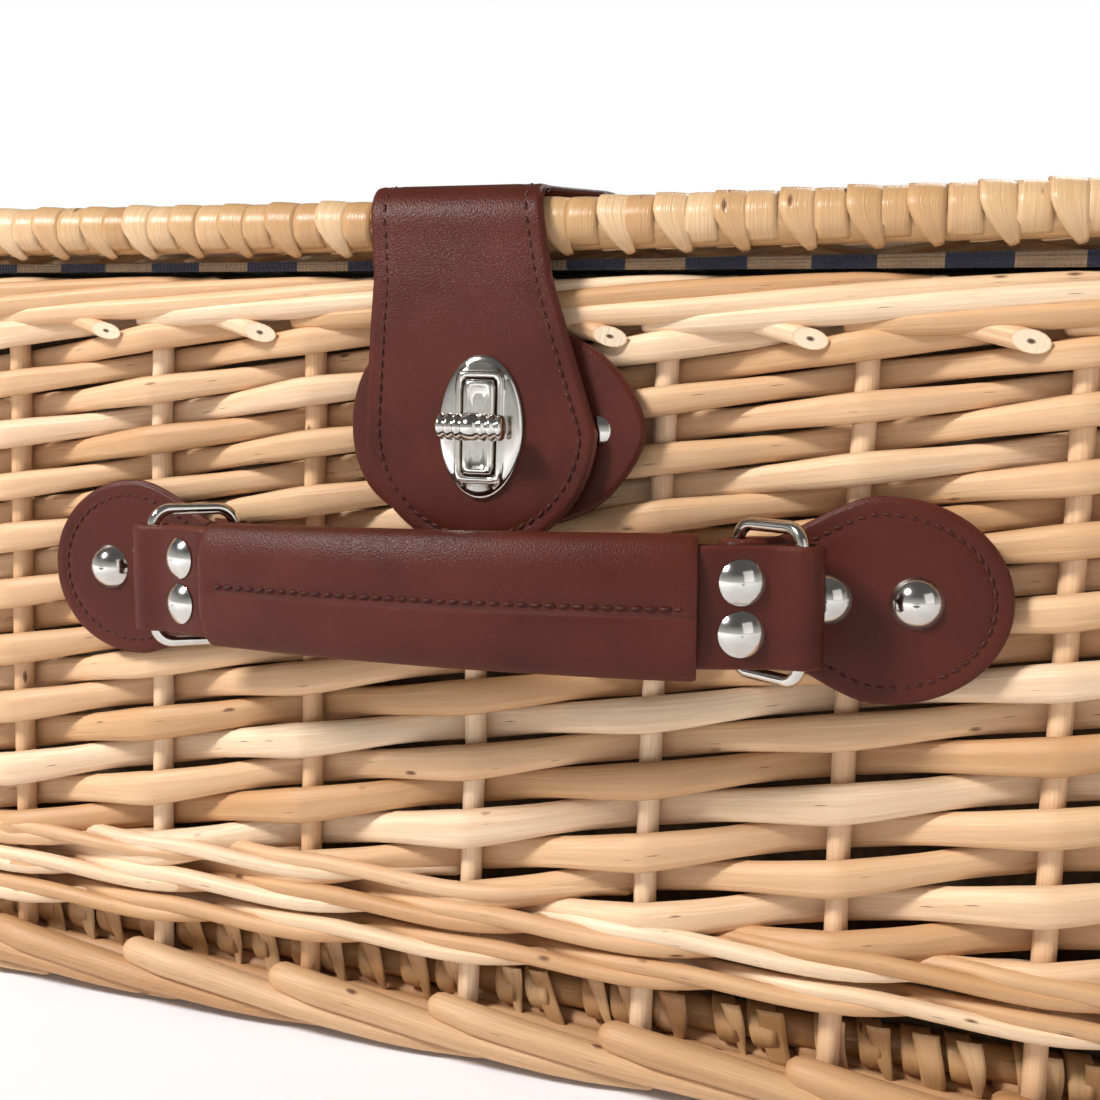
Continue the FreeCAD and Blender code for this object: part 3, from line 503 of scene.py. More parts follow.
def make_wale():
    """Two rounds of three-rod wale: over two posts, behind one, each new stroke above the last."""
    strands = Strands()
    steps = np.linspace(0, 1, 9)[:-1]
    ease = 0.5 - 0.5 * np.cos(math.pi * steps)
    out_by_phase = {0: -(STAKE + 2.0 * MM), 1: STAKE + 2.7 * MM, 2: STAKE + 2.9 * MM}
    rise_by_phase = {0: 0.1 * MM, 1: 1.4 * MM, 2: -1.4 * MM}
    climb = 7.6 * MM / len(POSTS)
    rods_each = 6
    for strand in range(3):
        run = 2 * len(POSTS) // rods_each + 2
        for piece in range(rods_each):
            start = strand + piece * (run - 1) - 1
            along, out, level = [], [], []
            for index in range(start, start + run):
                here, after = post(index), post(index + 1)
                phase, later = (index - strand) % 3, (index + 1 - strand) % 3
                along.append(here + (after - here) * steps)
                out.append(out_by_phase[phase] + (out_by_phase[later] - out_by_phase[phase]) * ease)
                z0 = WALE_LOW + 3.6 * MM + climb * index + rise_by_phase[phase]
                z1 = WALE_LOW + 3.6 * MM + climb * (index + 1) + rise_by_phase[later]
                level.append(z0 + (z1 - z0) * ease)
            along, out, level = map(np.concatenate, (along, out, level))
            thin = np.interp(np.arange(len(along)), [0, len(along) * 0.1, len(along)], [0.8, 1.0, 0.82])
            radius = 2.15 * MM * thin * RNG.uniform(0.94, 1.06)
            level += RNG.normal(0, 0.15 * MM)
            path = on_course(along, out, level)
            front = (path[:, 1] < FRONT_Y + 15 * MM) * np.clip((HALF_X - path[:, 0]) / (50 * MM), 0, 1)
            climbed = np.clip((path[:, 0] + 120 * MM) / (230 * MM), 0, 1) * front
            path += np.outer(climbed, (0, -0.8 * MM, 6.0 * MM))
            rod(strands, path, radius, radius, RNG.random(), sides=9)
    strands.mesh("wale", BUFF, "basket", ["lower_wale"], "willow")


def make_foot():
    """Foot border: a rod from each post slants down to the right under the next two."""
    strands = Strands()
    for index in range(len(POSTS)):
        begin, end = post(index) - 5 * MM, post(index + 2) + RNG.uniform(1, 7) * MM
        share = np.linspace(0, 1, 22)
        along = begin + (end - begin) * share
        level = np.interp(share, [0, 0.08, 0.5, 1], mm([13.2, 12.6, 7.6, 2.6]))
        level = level + 0.35 * MM * np.sin(share * 5 + RNG.random() * 6)
        out = np.interp(share, [0, 0.1, 0.5, 0.85, 1], mm([4.6, 6.0, 5.4, 4.0, 2.0]))
        size = RNG.uniform(0.94, 1.04)
        radius = np.interp(share, [0, 0.1, 0.75, 1], mm([3.5, 3.75, 3.0, 1.7])) * size
        level = np.maximum(level, radius + 0.02 * MM)
        rod(strands, on_course(along, out, level), radius, radius, RNG.uniform(0.0, 0.65), sides=12)
        for back, lift in ((-2.6 * MM, 0.0), (-6.8 * MM, 2.0 * MM)):
            inner = lift + np.interp(share, [0, 0.5, 1], mm([10.2, 6.6, 3.4]))
            tone = RNG.uniform(0.0, 0.4)
            rod(strands, on_course(along, back - 0.6 * MM * share, inner), 2.9 * MM, 2.9 * MM, tone)
    strands.mesh("foot_rods", FOOT, "basket", ["foot_border"], "willow")


def make_border():
    """Top border: rods rise to the right over three posts, cut ends poke out below."""
    strands = Strands()
    share = np.linspace(0, 1, 26)
    for index in range(len(POSTS)):
        begin, end = post(index) - 3 * MM, post(index + 3) + 14 * MM
        along = begin + (end - begin) * share
        level = WEAVE_TOP + np.interp(share, [0, 0.3, 0.6, 0.9, 1], mm([0.8, 3.6, 6.9, 9.6, 9.4]))
        out = np.interp(share, [0, 0.08, 0.3, 0.62, 0.85, 1], mm([2.5, 4.6, 5.0, 4.4, 1.6, -2.5]))
        size = RNG.uniform(0.93, 1.05)
        radius = np.interp(share, [0, 0.15, 0.7, 1], mm([2.2, 2.6, 2.4, 1.9])) * size
        level = level + 0.3 * MM * np.sin(share * 6 + RNG.random() * 6)
        rod(strands, on_course(along, out, level), radius, radius, RNG.random(), sides=10)

        inner = np.interp(share, [0, 0.1, 0.5, 0.9, 1], mm([-4.6, -4.8, -4.2, -2.8, -1.5]))
        level = WEAVE_TOP + np.interp(share, [0, 0.5, 1], mm([1.0, 5.6, 9.6]))
        rod(strands, on_course(along, inner, level), radius * 0.95, radius * 0.95, RNG.random(), sides=8)

        tip = np.linspace(0, 1, 7)
        along = post(index) - 30 * MM + 19 * MM * tip
        level = WEAVE_TOP + 3.2 * MM - 5.2 * MM * tip
        out = 1.5 * MM + 5.2 * MM * tip
        radius = 2.1 * MM * RNG.uniform(0.9, 1.15)
        path = on_course(along, out, level)
        rod(strands, path, radius, radius, RNG.random(), sides=16, ends="flat", slant=-1.5)
    strands.mesh("border_rods", BUFF, "basket", ["top_border"], "willow")


def make_base():
    """Base rim rod wound with twisted skein, and the woven floor over front-to-back sticks."""
    strands = Strands()
    rim_level, wrap_out, wrap_radius = FOOT_TOP + 4.0 * MM, -6.2 * MM, 4.75 * MM
    along = np.linspace(0, LENGTH, 241)
    # Painted shade: the rim rod takes tone 0, the skein's darkest, so it looks shaded in the gaps between the
    # wraps.
    rod(strands, on_course(along, -7.2 * MM, rim_level), 3.6 * MM, 3.6 * MM, 0.0, sides=12, ends="open")
    count = 140
    for index in range(count):
        place = (index + RNG.uniform(-0.25, 0.25)) * LENGTH / count
        lean, wide = RNG.uniform(1.5, 5.0) * MM, RNG.uniform(2.2, 3.2) * MM
        turn = np.linspace(-0.3, 1.15, 15) * math.pi
        ring_out = wrap_out + wrap_radius * np.sin(turn)
        ring_level = rim_level + wrap_radius * np.cos(turn)
        shift = place + lean * np.linspace(-0.5, 0.5, 15)
        taper = np.interp(np.arange(15), [0, 5, 10, 14], [1.0, 1.0, 0.8, 0.5])
        ribbon(strands, shift, ring_out, ring_level, wide * taper, RNG.uniform(0.0, 0.55))
        drop = np.linspace(0, 1, 10)
        fang_along = place + 3.0 * MM + lean * (drop - 0.5) + 0.5 * MM * np.sin(drop * 4 + index)
        fang_out = -0.4 * MM - 2.6 * MM * drop + 0.7 * MM * np.sin(drop * 5 + index)
        fang_level = WALE_LOW + 2.5 * MM - (WALE_LOW - 7.0 * MM) * drop
        pointed = RNG.random() < 0.55
        taper = 1.0 - (0.85 if pointed else 0.15) * drop**1.4
        half = wide * RNG.uniform(0.75, 1.1) * taper
        ribbon(strands, fang_along, fang_out, fang_level, half, RNG.uniform(0.0, 0.8))
    piece = strands.mesh("base_rim", SKEIN, "basket", ["base_frame"], "willow")
    solidify(piece, 0.35 * MM)

    strands = Strands()
    drop = Vector((0, 0, 2.6 * MM))
    ends = (low("base_panel") - drop, high("base_panel") - drop)
    panel_weave(strands, ends[0], ends[1], [k * PITCH for k in range(-4, 5)], 7.0 * MM, 2.3 * MM, 3.1 * MM)
    strands.mesh("base_weave", BUFF, "basket", ["base_panel", "base_sticks"], "willow")


def solidify(piece, thickness):
    """Give a thin sheet its thickness."""
    made = piece.modifiers.new("thickness", "SOLIDIFY")
    made.thickness, made.offset = thickness, -1


def ribbon(strands, along, out, level, half, tone):
    """A flat strip of skein that follows points on the course, half wide each side along it."""
    across = np.array([-1.0, -0.55, 0.0, 0.55, 1.0])
    crown = 0.18 * MM * (1 - across**2)
    rows = [on_course(along + a * half, out + c, level) for a, c in zip(across, crown)]
    add_grid(strands, np.stack(rows, axis=1), tone)


def add_grid(strands, grid, tone):
    """A rows-by-columns grid of points as faces, with UVs across and along in metres."""
    n, wide = grid.shape[:2]
    length = distance_along(grid[:, wide // 2])
    span = np.linalg.norm(grid[:, -1] - grid[:, 0], axis=1).max()
    shift = RNG.random(2) * 5
    us = np.linspace(0, span, wide)[None, :] + shift[0]
    uvs = np.stack(np.broadcast_arrays(us, length[:, None] + shift[1]), axis=-1)
    strands.add(grid.reshape(-1, 3), grid_faces(n, wide), uvs.reshape(-1, 2), tone)


def arch(points, lo, hi):
    """How far up a crowned panel stands at each point, from 0 at its edges to 1 in the middle."""
    across = (2 * points[:, 0] - lo.x - hi.x) / (hi.x - lo.x)
    deep = (2 * points[:, 1] - lo.y - hi.y) / (hi.y - lo.y)
    return np.clip(1 - across**4, 0, 1) * np.clip(1 - deep**4, 0, 1)


def panel_weave(strands, lo, hi, sticks, row_pitch, stick_radius, half_tall, crown=0.0):
    """Plain weave of a panel: rods along X, over and under sticks along Y."""
    level = (lo.z + hi.z) / 2
    for x in sticks:
        ends = np.linspace(lo.y - 1 * MM, hi.y + 1 * MM, 14)
        path = np.column_stack([x + RNG.normal(0, 0.2 * MM, 14), ends, np.full(14, level)])
        path[:, 2] += crown * arch(path, lo, hi)
        rod(strands, path, stick_radius, stick_radius, RNG.random(), sides=8)
    rows = int((hi.y - lo.y) / row_pitch)
    stops = [lo.x] + list(sticks) + [hi.x]
    steps = np.linspace(0, 1, 8)[:-1]
    for row in range(rows):
        y = lo.y + (row + 0.5) * (hi.y - lo.y) / rows + RNG.normal(0, 0.2 * MM)
        xs, zs, tall = [], [], []
        reach = stick_radius + 1.6 * MM
        for k in range(len(stops) - 1):
            side = reach if (k + row) % 2 else -reach
            up_now = 0 if k == 0 else side
            up_next = 0 if k == len(stops) - 2 else -side
            xs.append(stops[k] + (stops[k + 1] - stops[k]) * steps)
            ease = 0.5 * steps + 0.5 * (0.5 - 0.5 * np.cos(math.pi * steps))
            zs.append(up_now + (up_next - up_now) * ease)
            tall.append(1 - 0.14 * np.sin(math.pi * steps) ** 2)
        xs, zs, tall = map(np.concatenate, (xs, zs, tall))
        path = np.column_stack([xs, np.full(len(xs), y), level + zs])
        path[:, 2] += crown * arch(path, lo, hi)
        size = RNG.uniform(0.93, 1.07)
        rod(strands, path, half_tall * tall * size, 1.8 * MM * size, RNG.random(), sides=8, square=2.3)


# ---------------------------------------------------------------- lid


def lid_shift(points):
    """Lift the lid a little towards its right front corner, as a willow lid warps, and draw its back in."""
    points = np.array(points)
    behind = np.clip((points[:, 1] - MID_Y) / HALF_Y, 0, 1)
    points[:, 1] -= 1.5 * MM * behind
    forward = np.clip((BACK_Y - points[:, 1]) / (2 * HALF_Y), 0, 1)
    rise = np.clip((points[:, 0] - 0.02) / 0.2, 0, 1) * forward
    points[:, 2] += LID_WARP * rise
    return points


def make_lid():
    """A rim rod bound with lapped skein, and a woven panel; the check cloth beneath is made in make_linings.
    """
    strands = Strands()
    out, level, radius = 3.0 * MM, LID_TOP - 5.9 * MM, 5.0 * MM
    along = np.linspace(0, LENGTH, 301)
    rod(strands, lid_shift(on_course(along, out, level)), radius, radius, 0.5, sides=14, ends="open")
    count = 232
    width = LENGTH / count
    for index in range(count):
        place = (index + RNG.uniform(-0.12, 0.12)) * width
        pointed = index % 2 == 0
        turn = np.radians(np.linspace(-150, 166 if pointed else 150, 26))
        lapped = np.clip((turn - math.radians(72)) / math.radians(92), 0, 1) if pointed else 0 * turn
        lean = RNG.uniform(-0.08, 0.14) * width
        left = place + width * 0.9 * lapped**1.5 + lean * turn / 3
        right = place + width * (1.16 if pointed else 1.05) + lean * turn / 3
        lift = (0.75 if pointed else 0.35) * MM * RNG.uniform(0.85, 1.25)
        curl = 0.9 * MM * np.clip((turn - 2.0) / 0.9, 0, 1) if pointed else 0.0
        rows = []
        for share in np.linspace(0, 1, 6):
            here = left + (right - left) * share
            far = radius + lift * (1 - 0.7 * share) + curl + 0.16 * MM * math.sin(math.pi * share)
            rows.append(lid_shift(on_course(here, out + far * np.sin(turn), level + far * np.cos(turn))))
        add_grid(strands, np.stack(rows, axis=1), RNG.uniform(0.25, 0.95))
    piece = strands.mesh("lid_rim", SKEIN, "lid", ["lid_rim_wrap", "lid_frame"], "willow")
    solidify(piece, 0.3 * MM)

    strands = Strands()
    ends = (low("lid_panel"), high("lid_panel"))
    sticks = [k * PITCH for k in range(-5, 6)]
    panel_weave(strands, ends[0], ends[1], sticks, 6.6 * MM, 2.3 * MM, 3.1 * MM, LID_CROWN)
    strands.mesh("lid_weave", BUFF, "lid", ["lid_panel", "lid_sticks"], "willow")


def cloth_box(name, panels, material, body, node):
    """Cloth panels as one gently rumpled sheet."""
    strands = Strands()
    for corner, across, along, columns, rows in panels:
        corner, across, along = map(np.array, (corner, across, along))
        u, v = np.meshgrid(np.linspace(0, 1, columns), np.linspace(0, 1, rows))
        grid = corner + u[..., None] * across + v[..., None] * along
        normal = np.cross(across, along)
        normal = normal / np.linalg.norm(normal)
        width, length = np.linalg.norm(across), np.linalg.norm(along)
        edge = np.minimum(np.minimum(u, 1 - u) * width, np.minimum(v, 1 - v) * length)
        wave = 0.5 * MM * np.sin(u * width * 55 + 1.3 * np.sin(v * length * 21))
        wave = wave * np.clip(edge / 0.02, 0, 1)
        grid = grid + normal * wave[..., None]
        if body == "lid":
            hang = np.clip(HEM - edge, 0, None)
            for axis in (0, 1):
                ends = grid[..., axis].min() + HEM, grid[..., axis].max() - HEM
                grid[..., axis] = np.clip(grid[..., axis], *ends)
            grid = lid_shift(grid.reshape(-1, 3)).reshape(grid.shape)
            risen = np.clip((grid[..., 0] - 0.02) / 0.2, 0, 1) * (grid[..., 1] < MID_Y)
            grid[..., 2] -= hang * (0.45 + 0.65 * risen)
        count, wide = grid.shape[:2]
        start = HEM_ROW if body == "lid" else 0.0
        uvs = np.stack([u * width + start, v * length], axis=-1)
        strands.add(grid.reshape(-1, 3), grid_faces(count, wide), uvs.reshape(-1, 2), 0.5)
    piece = strands.mesh(name, material, body, [node], "cloth")
    solidify(piece, 0.5 * MM)
    if body == "basket":
        # The lining's outer face takes the cloth back, whose colour is painted shade for the gaps in the
        # weave.
        piece.data.materials.append(CLOTH_BACK_AND_SHADE)
        piece.modifiers["thickness"].material_offset = 1


def make_linings():
    """The check cloth tray inside the hamper and the cloth under the lid."""
    lo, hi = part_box("body_lining")
    lo, hi = np.array(lo), np.array(hi)
    dx, dy, dz = hi - lo
    x, y, z = (dx, 0, 0), (0, dy, 0), (0, 0, dz)
    panels = [
        (lo, x, y, 60, 40),
        (lo, z, x, 24, 60),
        (lo + (0, dy, 0), x, z, 60, 24),
        (lo, y, z, 40, 24),
        (lo + (dx, 0, 0), z, y, 24, 40),
    ]
    cloth_box("lining", panels, CHECK, "basket", "body_lining")

    lo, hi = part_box("lid_lining")
    lo, hi = np.array(lo), np.array(hi)
    dx, dy, _ = hi - lo
    spread = 8.5 * MM
    corner = np.array([lo[0] - spread, lo[1] - spread, lo[2] + 1.2 * MM])
    size = (dx + 2 * spread, dy + 2 * spread)
    panels = [(corner, (0, size[1], 0), (size[0], 0, 0), 160, 240)]
    cloth_box("lid_cloth", panels, CHECK, "lid", "lid_lining")


# ---------------------------------------------------------------- leather


def leather(name, tint, raw):
    """Smooth finished leather: fine grain, faint creases, worn highlights and paler cut edges."""
    m = Nodes(name)
    uv, cut = m.uv(), m.attribute("cut")
    cells = m.node("TexVoronoi", {"Vector": uv, "Scale": 1700.0}, feature="DISTANCE_TO_EDGE")
    grain = cells.outputs["Distance"]
    pores = m.noise(uv, 2200.0, 3.0, 0.6)
    creases = m.noise(m.scaled(uv, (60, 240, 1)), 1.0, 4.0, 0.62, 1.2)
    cloud = m.noise(uv, 40.0, 3.0)
    shade = tuple(0.72 * part for part in tint)
    light = tuple(1.22 * part for part in tint)
    colour = m.ramp(cloud, [(0.3, shade), (0.5, tint), (0.75, light)])
    pits = m.ramp(pores, [(0.3, WHITE), (0.5, BLACK)])
    colour = m.mix(m.times(pits, 0.22), colour, shade)
    colour = m.mix(cut, colour, raw)
    rough = m.spread(cloud, 0.36, 0.48)
    height = m.plus(m.times(grain, 2.2), m.times(pores, 0.35))
    height = m.plus(height, m.times(creases, 0.5))
    return m.set(colour=colour, rough=rough, normal=m.bump(height, 0.27, 0.00022), specular=0.18)


def thread():
    """Waxed sewing thread."""
    m = Nodes("thread")
    twist = m.noise(m.scaled(m.uv(), (3000, 1200, 1)), 1.0)
    colour = m.ramp(twist, [(0.3, (0.028, 0.0055, 0.0035)), (0.7, (0.085, 0.019, 0.012))])
    return m.set(colour=colour, rough=0.5, normal=m.bump(twist, 0.3, 0.0002), specular=0.2)


def nickel(name, rough):
    """Bright nickel plate with faint scratches and smudges."""
    m = Nodes(name)
    place = m.node("TexCoord").outputs["Object"]
    smudge = m.noise(place, 220.0, 4.0, 0.6)
    scratch = m.noise(m.scaled(place, (2600, 300, 300)), 1.0, 2.0)
    colour = m.ramp(smudge, [(0.3, (0.56, 0.53, 0.48)), (0.7, (0.70, 0.67, 0.62))])
    gloss = m.spread(smudge, rough, rough + 0.09)
    return m.set(colour=colour, rough=gloss, metal=1.0, normal=m.bump(scratch, 0.05, 0.0002))


LEATHER = leather("leather_brown", (0.074, 0.0138, 0.0068), (0.12, 0.030, 0.018))
THREAD = thread()
NICKEL = nickel("nickel_plate", 0.09)
SEAM_INSET = 3.6 * MM


class Spine:
    """A run of leather through space: points of its inner face and outward normals by distance along it.

    The points lie on one plane, and across is that plane's normal.
    """

    def __init__(self, points, across):
        self.along = distance_along(points)
        self.points = points
        self.across = np.asarray(across, float)
        self.normals = unit(np.cross(self.across, unit(np.gradient(points, axis=0))))
        self.length = self.along[-1]

    def at(self, s, x, height):
        """Points in space for distances along, across and above the inner face."""
        base = np.stack([np.interp(s, self.along, column) for column in self.points.T], axis=-1)
        normal = np.stack([np.interp(s, self.along, column) for column in self.normals.T], axis=-1)
        normal = normal / np.maximum(np.linalg.norm(normal, axis=-1, keepdims=True), 1e-9)
        return base + self.across * np.asarray(x)[..., None] + normal * np.asarray(height)[..., None]


def joined(*runs):
    """Several runs of points as one, without repeats, resampled smoothly every 0.6 mm."""
    points = np.vstack(runs)
    step = np.linalg.norm(np.diff(points, axis=0), axis=1)
    points = points[np.concatenate([[True], step > 1e-6])]
    whole = distance_along(points)[-1]
    smooth = resample(points, np.linspace(0, whole, int(whole / (0.6 * MM)) + 2))
    for _ in range(3):
        smooth[1:-1] = (smooth[:-2] + 2 * smooth[1:-1] + smooth[2:]) / 4
    return smooth


def inset_distance(outline, s, x):
    """Distance from points to a closed outline of (s, x) points."""
    a, b = outline, np.roll(outline, -1, axis=0)
    edge = b - a
    size = np.maximum((edge**2).sum(axis=1), 1e-18)
    spots = np.stack([s.ravel(), x.ravel()], axis=-1)
    best = np.full(len(spots), 1e9)
    for start, run, square in zip(a, edge, size):
        share = np.clip(((spots - start) @ run) / square, 0, 1)
        gap = spots - start - share[:, None] * run
        best = np.minimum(best, (gap**2).sum(axis=1))
    return np.sqrt(best).reshape(s.shape)


def even_outline(outline, pitch):
    """A closed outline's points spaced evenly, near a pitch."""
    loop = np.vstack([outline, outline[:1]])
    whole = distance_along(loop)[-1]
    count = int(whole / pitch)
    return resample(loop, np.arange(count) * whole / count)


def hide(name, spine, stops, left, right, thickness, body, replaces, sew=None, hole=None, bulge=0.0):
    """A flat-cut leather piece bent along a spine, with rounded paler edges and its stitching.

    stops are distances along the spine for the rows; left and right give the cut edge's place
    across at each row. sew is a test (s, x) that says where the edge is stitched, and hole is
    two opposite corners (s, x) of a slot.
    """
    stops = np.asarray(stops)
    lo, hi = left(stops), right(stops)
    outline = np.vstack([np.stack([stops, hi], 1), np.stack([stops, lo], 1)[::-1]])
    outline = even_outline(outline, 0.8 * MM)
    share = np.concatenate([[0, 0.012, 0.035, 0.07], np.linspace(0.12, 0.88, 24), [0.93, 0.965, 0.988, 1]])
    s = np.repeat(stops[:, None], len(share), axis=1)
    x = lo[:, None] + (hi - lo)[:, None] * share
    deep = inset_distance(outline, s, x)
    round_off = 0.9 * MM
    sunk = np.sqrt(np.clip(1 - (1 - np.clip(deep / round_off, 0, 1)) ** 2, 0, 1))
    groove = 0.32 * MM * np.exp(-(((deep - SEAM_INSET) / (0.9 * MM)) ** 2)) if sew else 0.0
    puff = bulge * np.clip(deep / (9 * MM), 0, 1) ** 0.6
    front = thickness * (0.5 + 0.5 * sunk) - groove + puff
    back = thickness * 0.5 * (1 - sunk)
    strands = Strands()
    n, wide = s.shape
    uvs = np.stack([x, s], axis=-1)
    raw = np.clip(1.25 - deep / (0.45 * MM), 0, 1) * 0.85
    both = np.concatenate([spine.at(s, x, height).reshape(-1, 3) for height in (front, back)])
    keep = np.ones((n - 1, wide - 1), bool)
    if hole is not None:
        cs, cx = (s[1:, 1:] + s[:-1, :-1]) / 2, (x[1:, 1:] + x[:-1, :-1]) / 2
        inside_s = (cs > hole[:, 0].min()) & (cs < hole[:, 0].max())
        keep = ~(inside_s & (cx > hole[:, 1].min()) & (cx < hole[:, 1].max()))
    total = n * wide
    faces = []
    for (a, b, c, d), kept in zip(grid_faces(n, wide), keep.ravel()):
        if kept:
            faces.append((a, b, c, d))
            faces.append((a + total, d + total, c + total, b + total))
    rim = [i * wide for i in range(n)] + [(n - 1) * wide + j for j in range(1, wide)]
    rim += [i * wide + wide - 1 for i in range(n - 2, -1, -1)] + list(range(wide - 2, 0, -1))
    for a, b in zip(rim, rim[1:] + rim[:1]):
        faces.append((a, a + total, b + total, b))
    strands.add(both, faces, np.tile(uvs.reshape(-1, 2), (2, 1)), 0.5, np.tile(raw.ravel(), 2))
    strands.mesh(name, LEATHER, body, replaces, "leather")
    if sew:
        sew_edge(f"{name}_stitches", spine, outline, thickness + bulge * 0.5, sew, body)


def stitch(strands, path, tall, up):
    """One stitch of thread."""
    rod(strands, path, 0.42 * MM, tall, RNG.random(), up=up, sides=6)


def sew_edge(name, spine, outline, height, chosen, body):
    """A row of stitches inside an outline, where the test chosen(s, x) says so."""
    dense = even_outline(outline, 0.4 * MM)
    ahead = np.roll(dense, -4, axis=0) - np.roll(dense, 4, axis=0)
    inward = np.stack([-ahead[:, 1], ahead[:, 0]], axis=-1)
    inward /= np.maximum(np.linalg.norm(inward, axis=1, keepdims=True), 1e-12)
    after = np.roll(dense, -1, axis=0)
    area = 0.5 * np.sum(dense[:, 0] * after[:, 1] - after[:, 0] * dense[:, 1])
    row = dense + inward * SEAM_INSET * (1 if area > 0 else -1)
    good = inset_distance(even_outline(outline, 1.2 * MM), row[:, 0], row[:, 1]) > SEAM_INSET * 0.93
    row = even_outline(row[good], 2.5 * MM)
    strands = Strands()
    for first, second in zip(row, np.roll(row, -1, axis=0)):
        run = second - first
        if np.linalg.norm(run) > 5 * MM or not chosen(*((first + second) / 2)):
            continue
        slant = np.array([-run[1], run[0]]) * 0.10
        share = np.linspace(0.07, 0.83, 5)
        flat = first + share[:, None] * run + (share[:, None] - 0.45) * 2 * slant
        rise = height + mm([-0.35, 0.02, 0.1, 0.02, -0.35]) - 0.22 * MM
        path = spine.at(flat[:, 0], flat[:, 1], rise)
        foot, tip = (spine.at(*flat[2], level) for level in (0.0, 1.0))
        stitch(strands, path, 0.34 * MM, tip - foot)
    strands.mesh(name, THREAD, body, (), "leather")


def rows_between(start, end, round_start=False, round_end=False, count=120):
    """Row places along a spine, closer together near a rounded end."""
    share = np.linspace(0, 1, count)
    if round_end:
        share = 1 - (1 - share) ** 1.9
    if round_start:
        share = share**1.9
    return start + (end - start) * share


TILT = math.radians(1.5)
HANDLE = Matrix.Translation((2 * MM, FRONT_Y, 114 * MM)) @ Matrix.Rotation(-TILT, 4, "Y")


def in_handle(across, out, rise):
    """Points in space from places in the handle's own level frame."""
    across, out, rise = np.broadcast_arrays(*(np.asarray(part, float) for part in (across, out, rise)))
    flat = np.stack([across, -out, rise], axis=-1)
    return flat @ np.array(HANDLE.to_3x3()).T + np.array(HANDLE.translation)


CLASP_X, CLASP_Z = 4.8 * MM, 148.2 * MM
LEATHER_THICK = 2.5 * MM
RIM_REACH = 6.3 * MM


def over_rim(bend_out, bend_level, side_y, way):
    """Points over the lid's rim, from its top to the wall's outside; way is -1 in front, 1 behind."""
    turn = np.radians(np.linspace(90, 0, 24))
    out = bend_out + RIM_REACH * np.cos(turn)
    level = bend_level + RIM_REACH * np.sin(turn)
    return np.stack([np.zeros(24), side_y + way * out, level], axis=-1)


def make_clasp():
    """The strap and flap in one piece over the rim, and the backing patch."""
    back = FRONT_Y + 52 * MM
    bend_level = LID_TOP - 6.0 * MM
    arc = over_rim(3.2 * MM, bend_level, FRONT_Y, -1)
    top = np.linspace((0, back, bend_level + RIM_REACH), arc[0], 60)
    top[:, 2] += 5.5 * MM * (1 - np.linspace(0, 1, 60) ** 1.6) ** 1.3
    hang = ((9.6, 188), (10.4, 178), (10.9, 168), (11.0, 150), (11.0, 121.2))
    down = [(0, FRONT_Y - out * MM, level * MM) for out, level in hang]
    points = joined(top, arc, np.array(down))
    spine = Spine(points, (1, 0, 0))
    if spine.normals[5][2] < 0:
        spine.normals *= -1
    bottom = spine.length
    radius = 26.5 * MM
    low_centre = bottom - radius
    top_x = CLASP_X - 9.4 * MM
    bend_s = spine.along[np.argmin(np.abs(spine.points[:, 1] - arc[0][1]))]

    def centre(s):
        return np.interp(s, [bend_s, low_centre], [top_x, CLASP_X - 1.2 * MM])

    def half(s):
        s = np.asarray(s, float)
        places = [radius, bend_s, bend_s + 22 * MM, low_centre]
        straight = np.interp(s, places, mm([25, 19.3, 20.4, 26.5]))
        end = np.sqrt(np.clip(radius**2 - np.clip(s - low_centre, 0, None) ** 2, 0, None))
        begin = np.sqrt(np.clip(radius**2 - np.clip(radius - s, 0, None) ** 2, 0, None))
        return np.minimum(np.minimum(straight, end), begin)

    centre_s = bottom - (CLASP_Z - points[-1][2])
    slot = np.array([(centre_s + k * 9.5 * MM, CLASP_X + k * 3.7 * MM) for k in (-1, 1)])
    first = rows_between(0.05 * MM, bottom / 2, round_start=True, count=90)
    second = rows_between(bottom / 2, bottom - 0.05 * MM, round_end=True, count=110)[1:]
    blend = ("lid", "clasp_flap", (0, FRONT_Y - 3.2 * MM, 0.2000), (0, FRONT_Y - 11 * MM, 0.1880))
    hide(
        "clasp_strap",
        spine,
        np.concatenate([first, second]),
        lambda s: centre(s) - half(s),
        lambda s: centre(s) + half(s),
        LEATHER_THICK,
        blend,
        ["clasp_strap_top", "clasp_flap"],
        sew=lambda s, x: True,
        hole=slot,
    )
    rest = back - FRONT_Y - 38 * MM
    places = spine.at(np.full(2, rest), top_x + mm([-9.5, 9.5]), np.full(2, LEATHER_THICK))
    dome_rivets("clasp_strap_heads", places, (0, 0, 1), 4.5 * MM, 1.8 * MM, "lid", ["clasp_strap_rivets"])

    wide = 34.0 * MM
    middle = CLASP_X + 1.2 * MM
    spots = np.linspace(-wide, wide, 100)
    curl = 1.6 * MM * np.clip(spots / wide, 0, 1) ** 3
    run = np.column_stack([middle + spots, FRONT_Y - 6.5 * MM - curl, np.full(100, CLASP_Z)])
    spine = Spine(joined(run), (0, 0, 1))
    spine.normals *= -1 if spine.normals[3][1] > 0 else 1

    def tall(s):
        place = (np.asarray(s, float) - wide) / wide
        blunt = np.clip(1 - np.abs(place) ** 4.2, 0, 1) ** 0.5
        pointed = np.clip(1 - np.abs(place) ** 3, 0, 1)
        return 21.3 * MM * np.where(place < 0, blunt, pointed * 0.6 + blunt * 0.4)

    hide(
        "clasp_backing",
        spine,
        0.05 * MM + (2 * wide - 0.1 * MM) * (0.5 - 0.5 * np.cos(np.linspace(0, math.pi, 120))),
        lambda s: -tall(s),
        tall,
        LEATHER_THICK,
        "basket",
        ["clasp_patch"],
        bulge=0.5 * MM,
    )


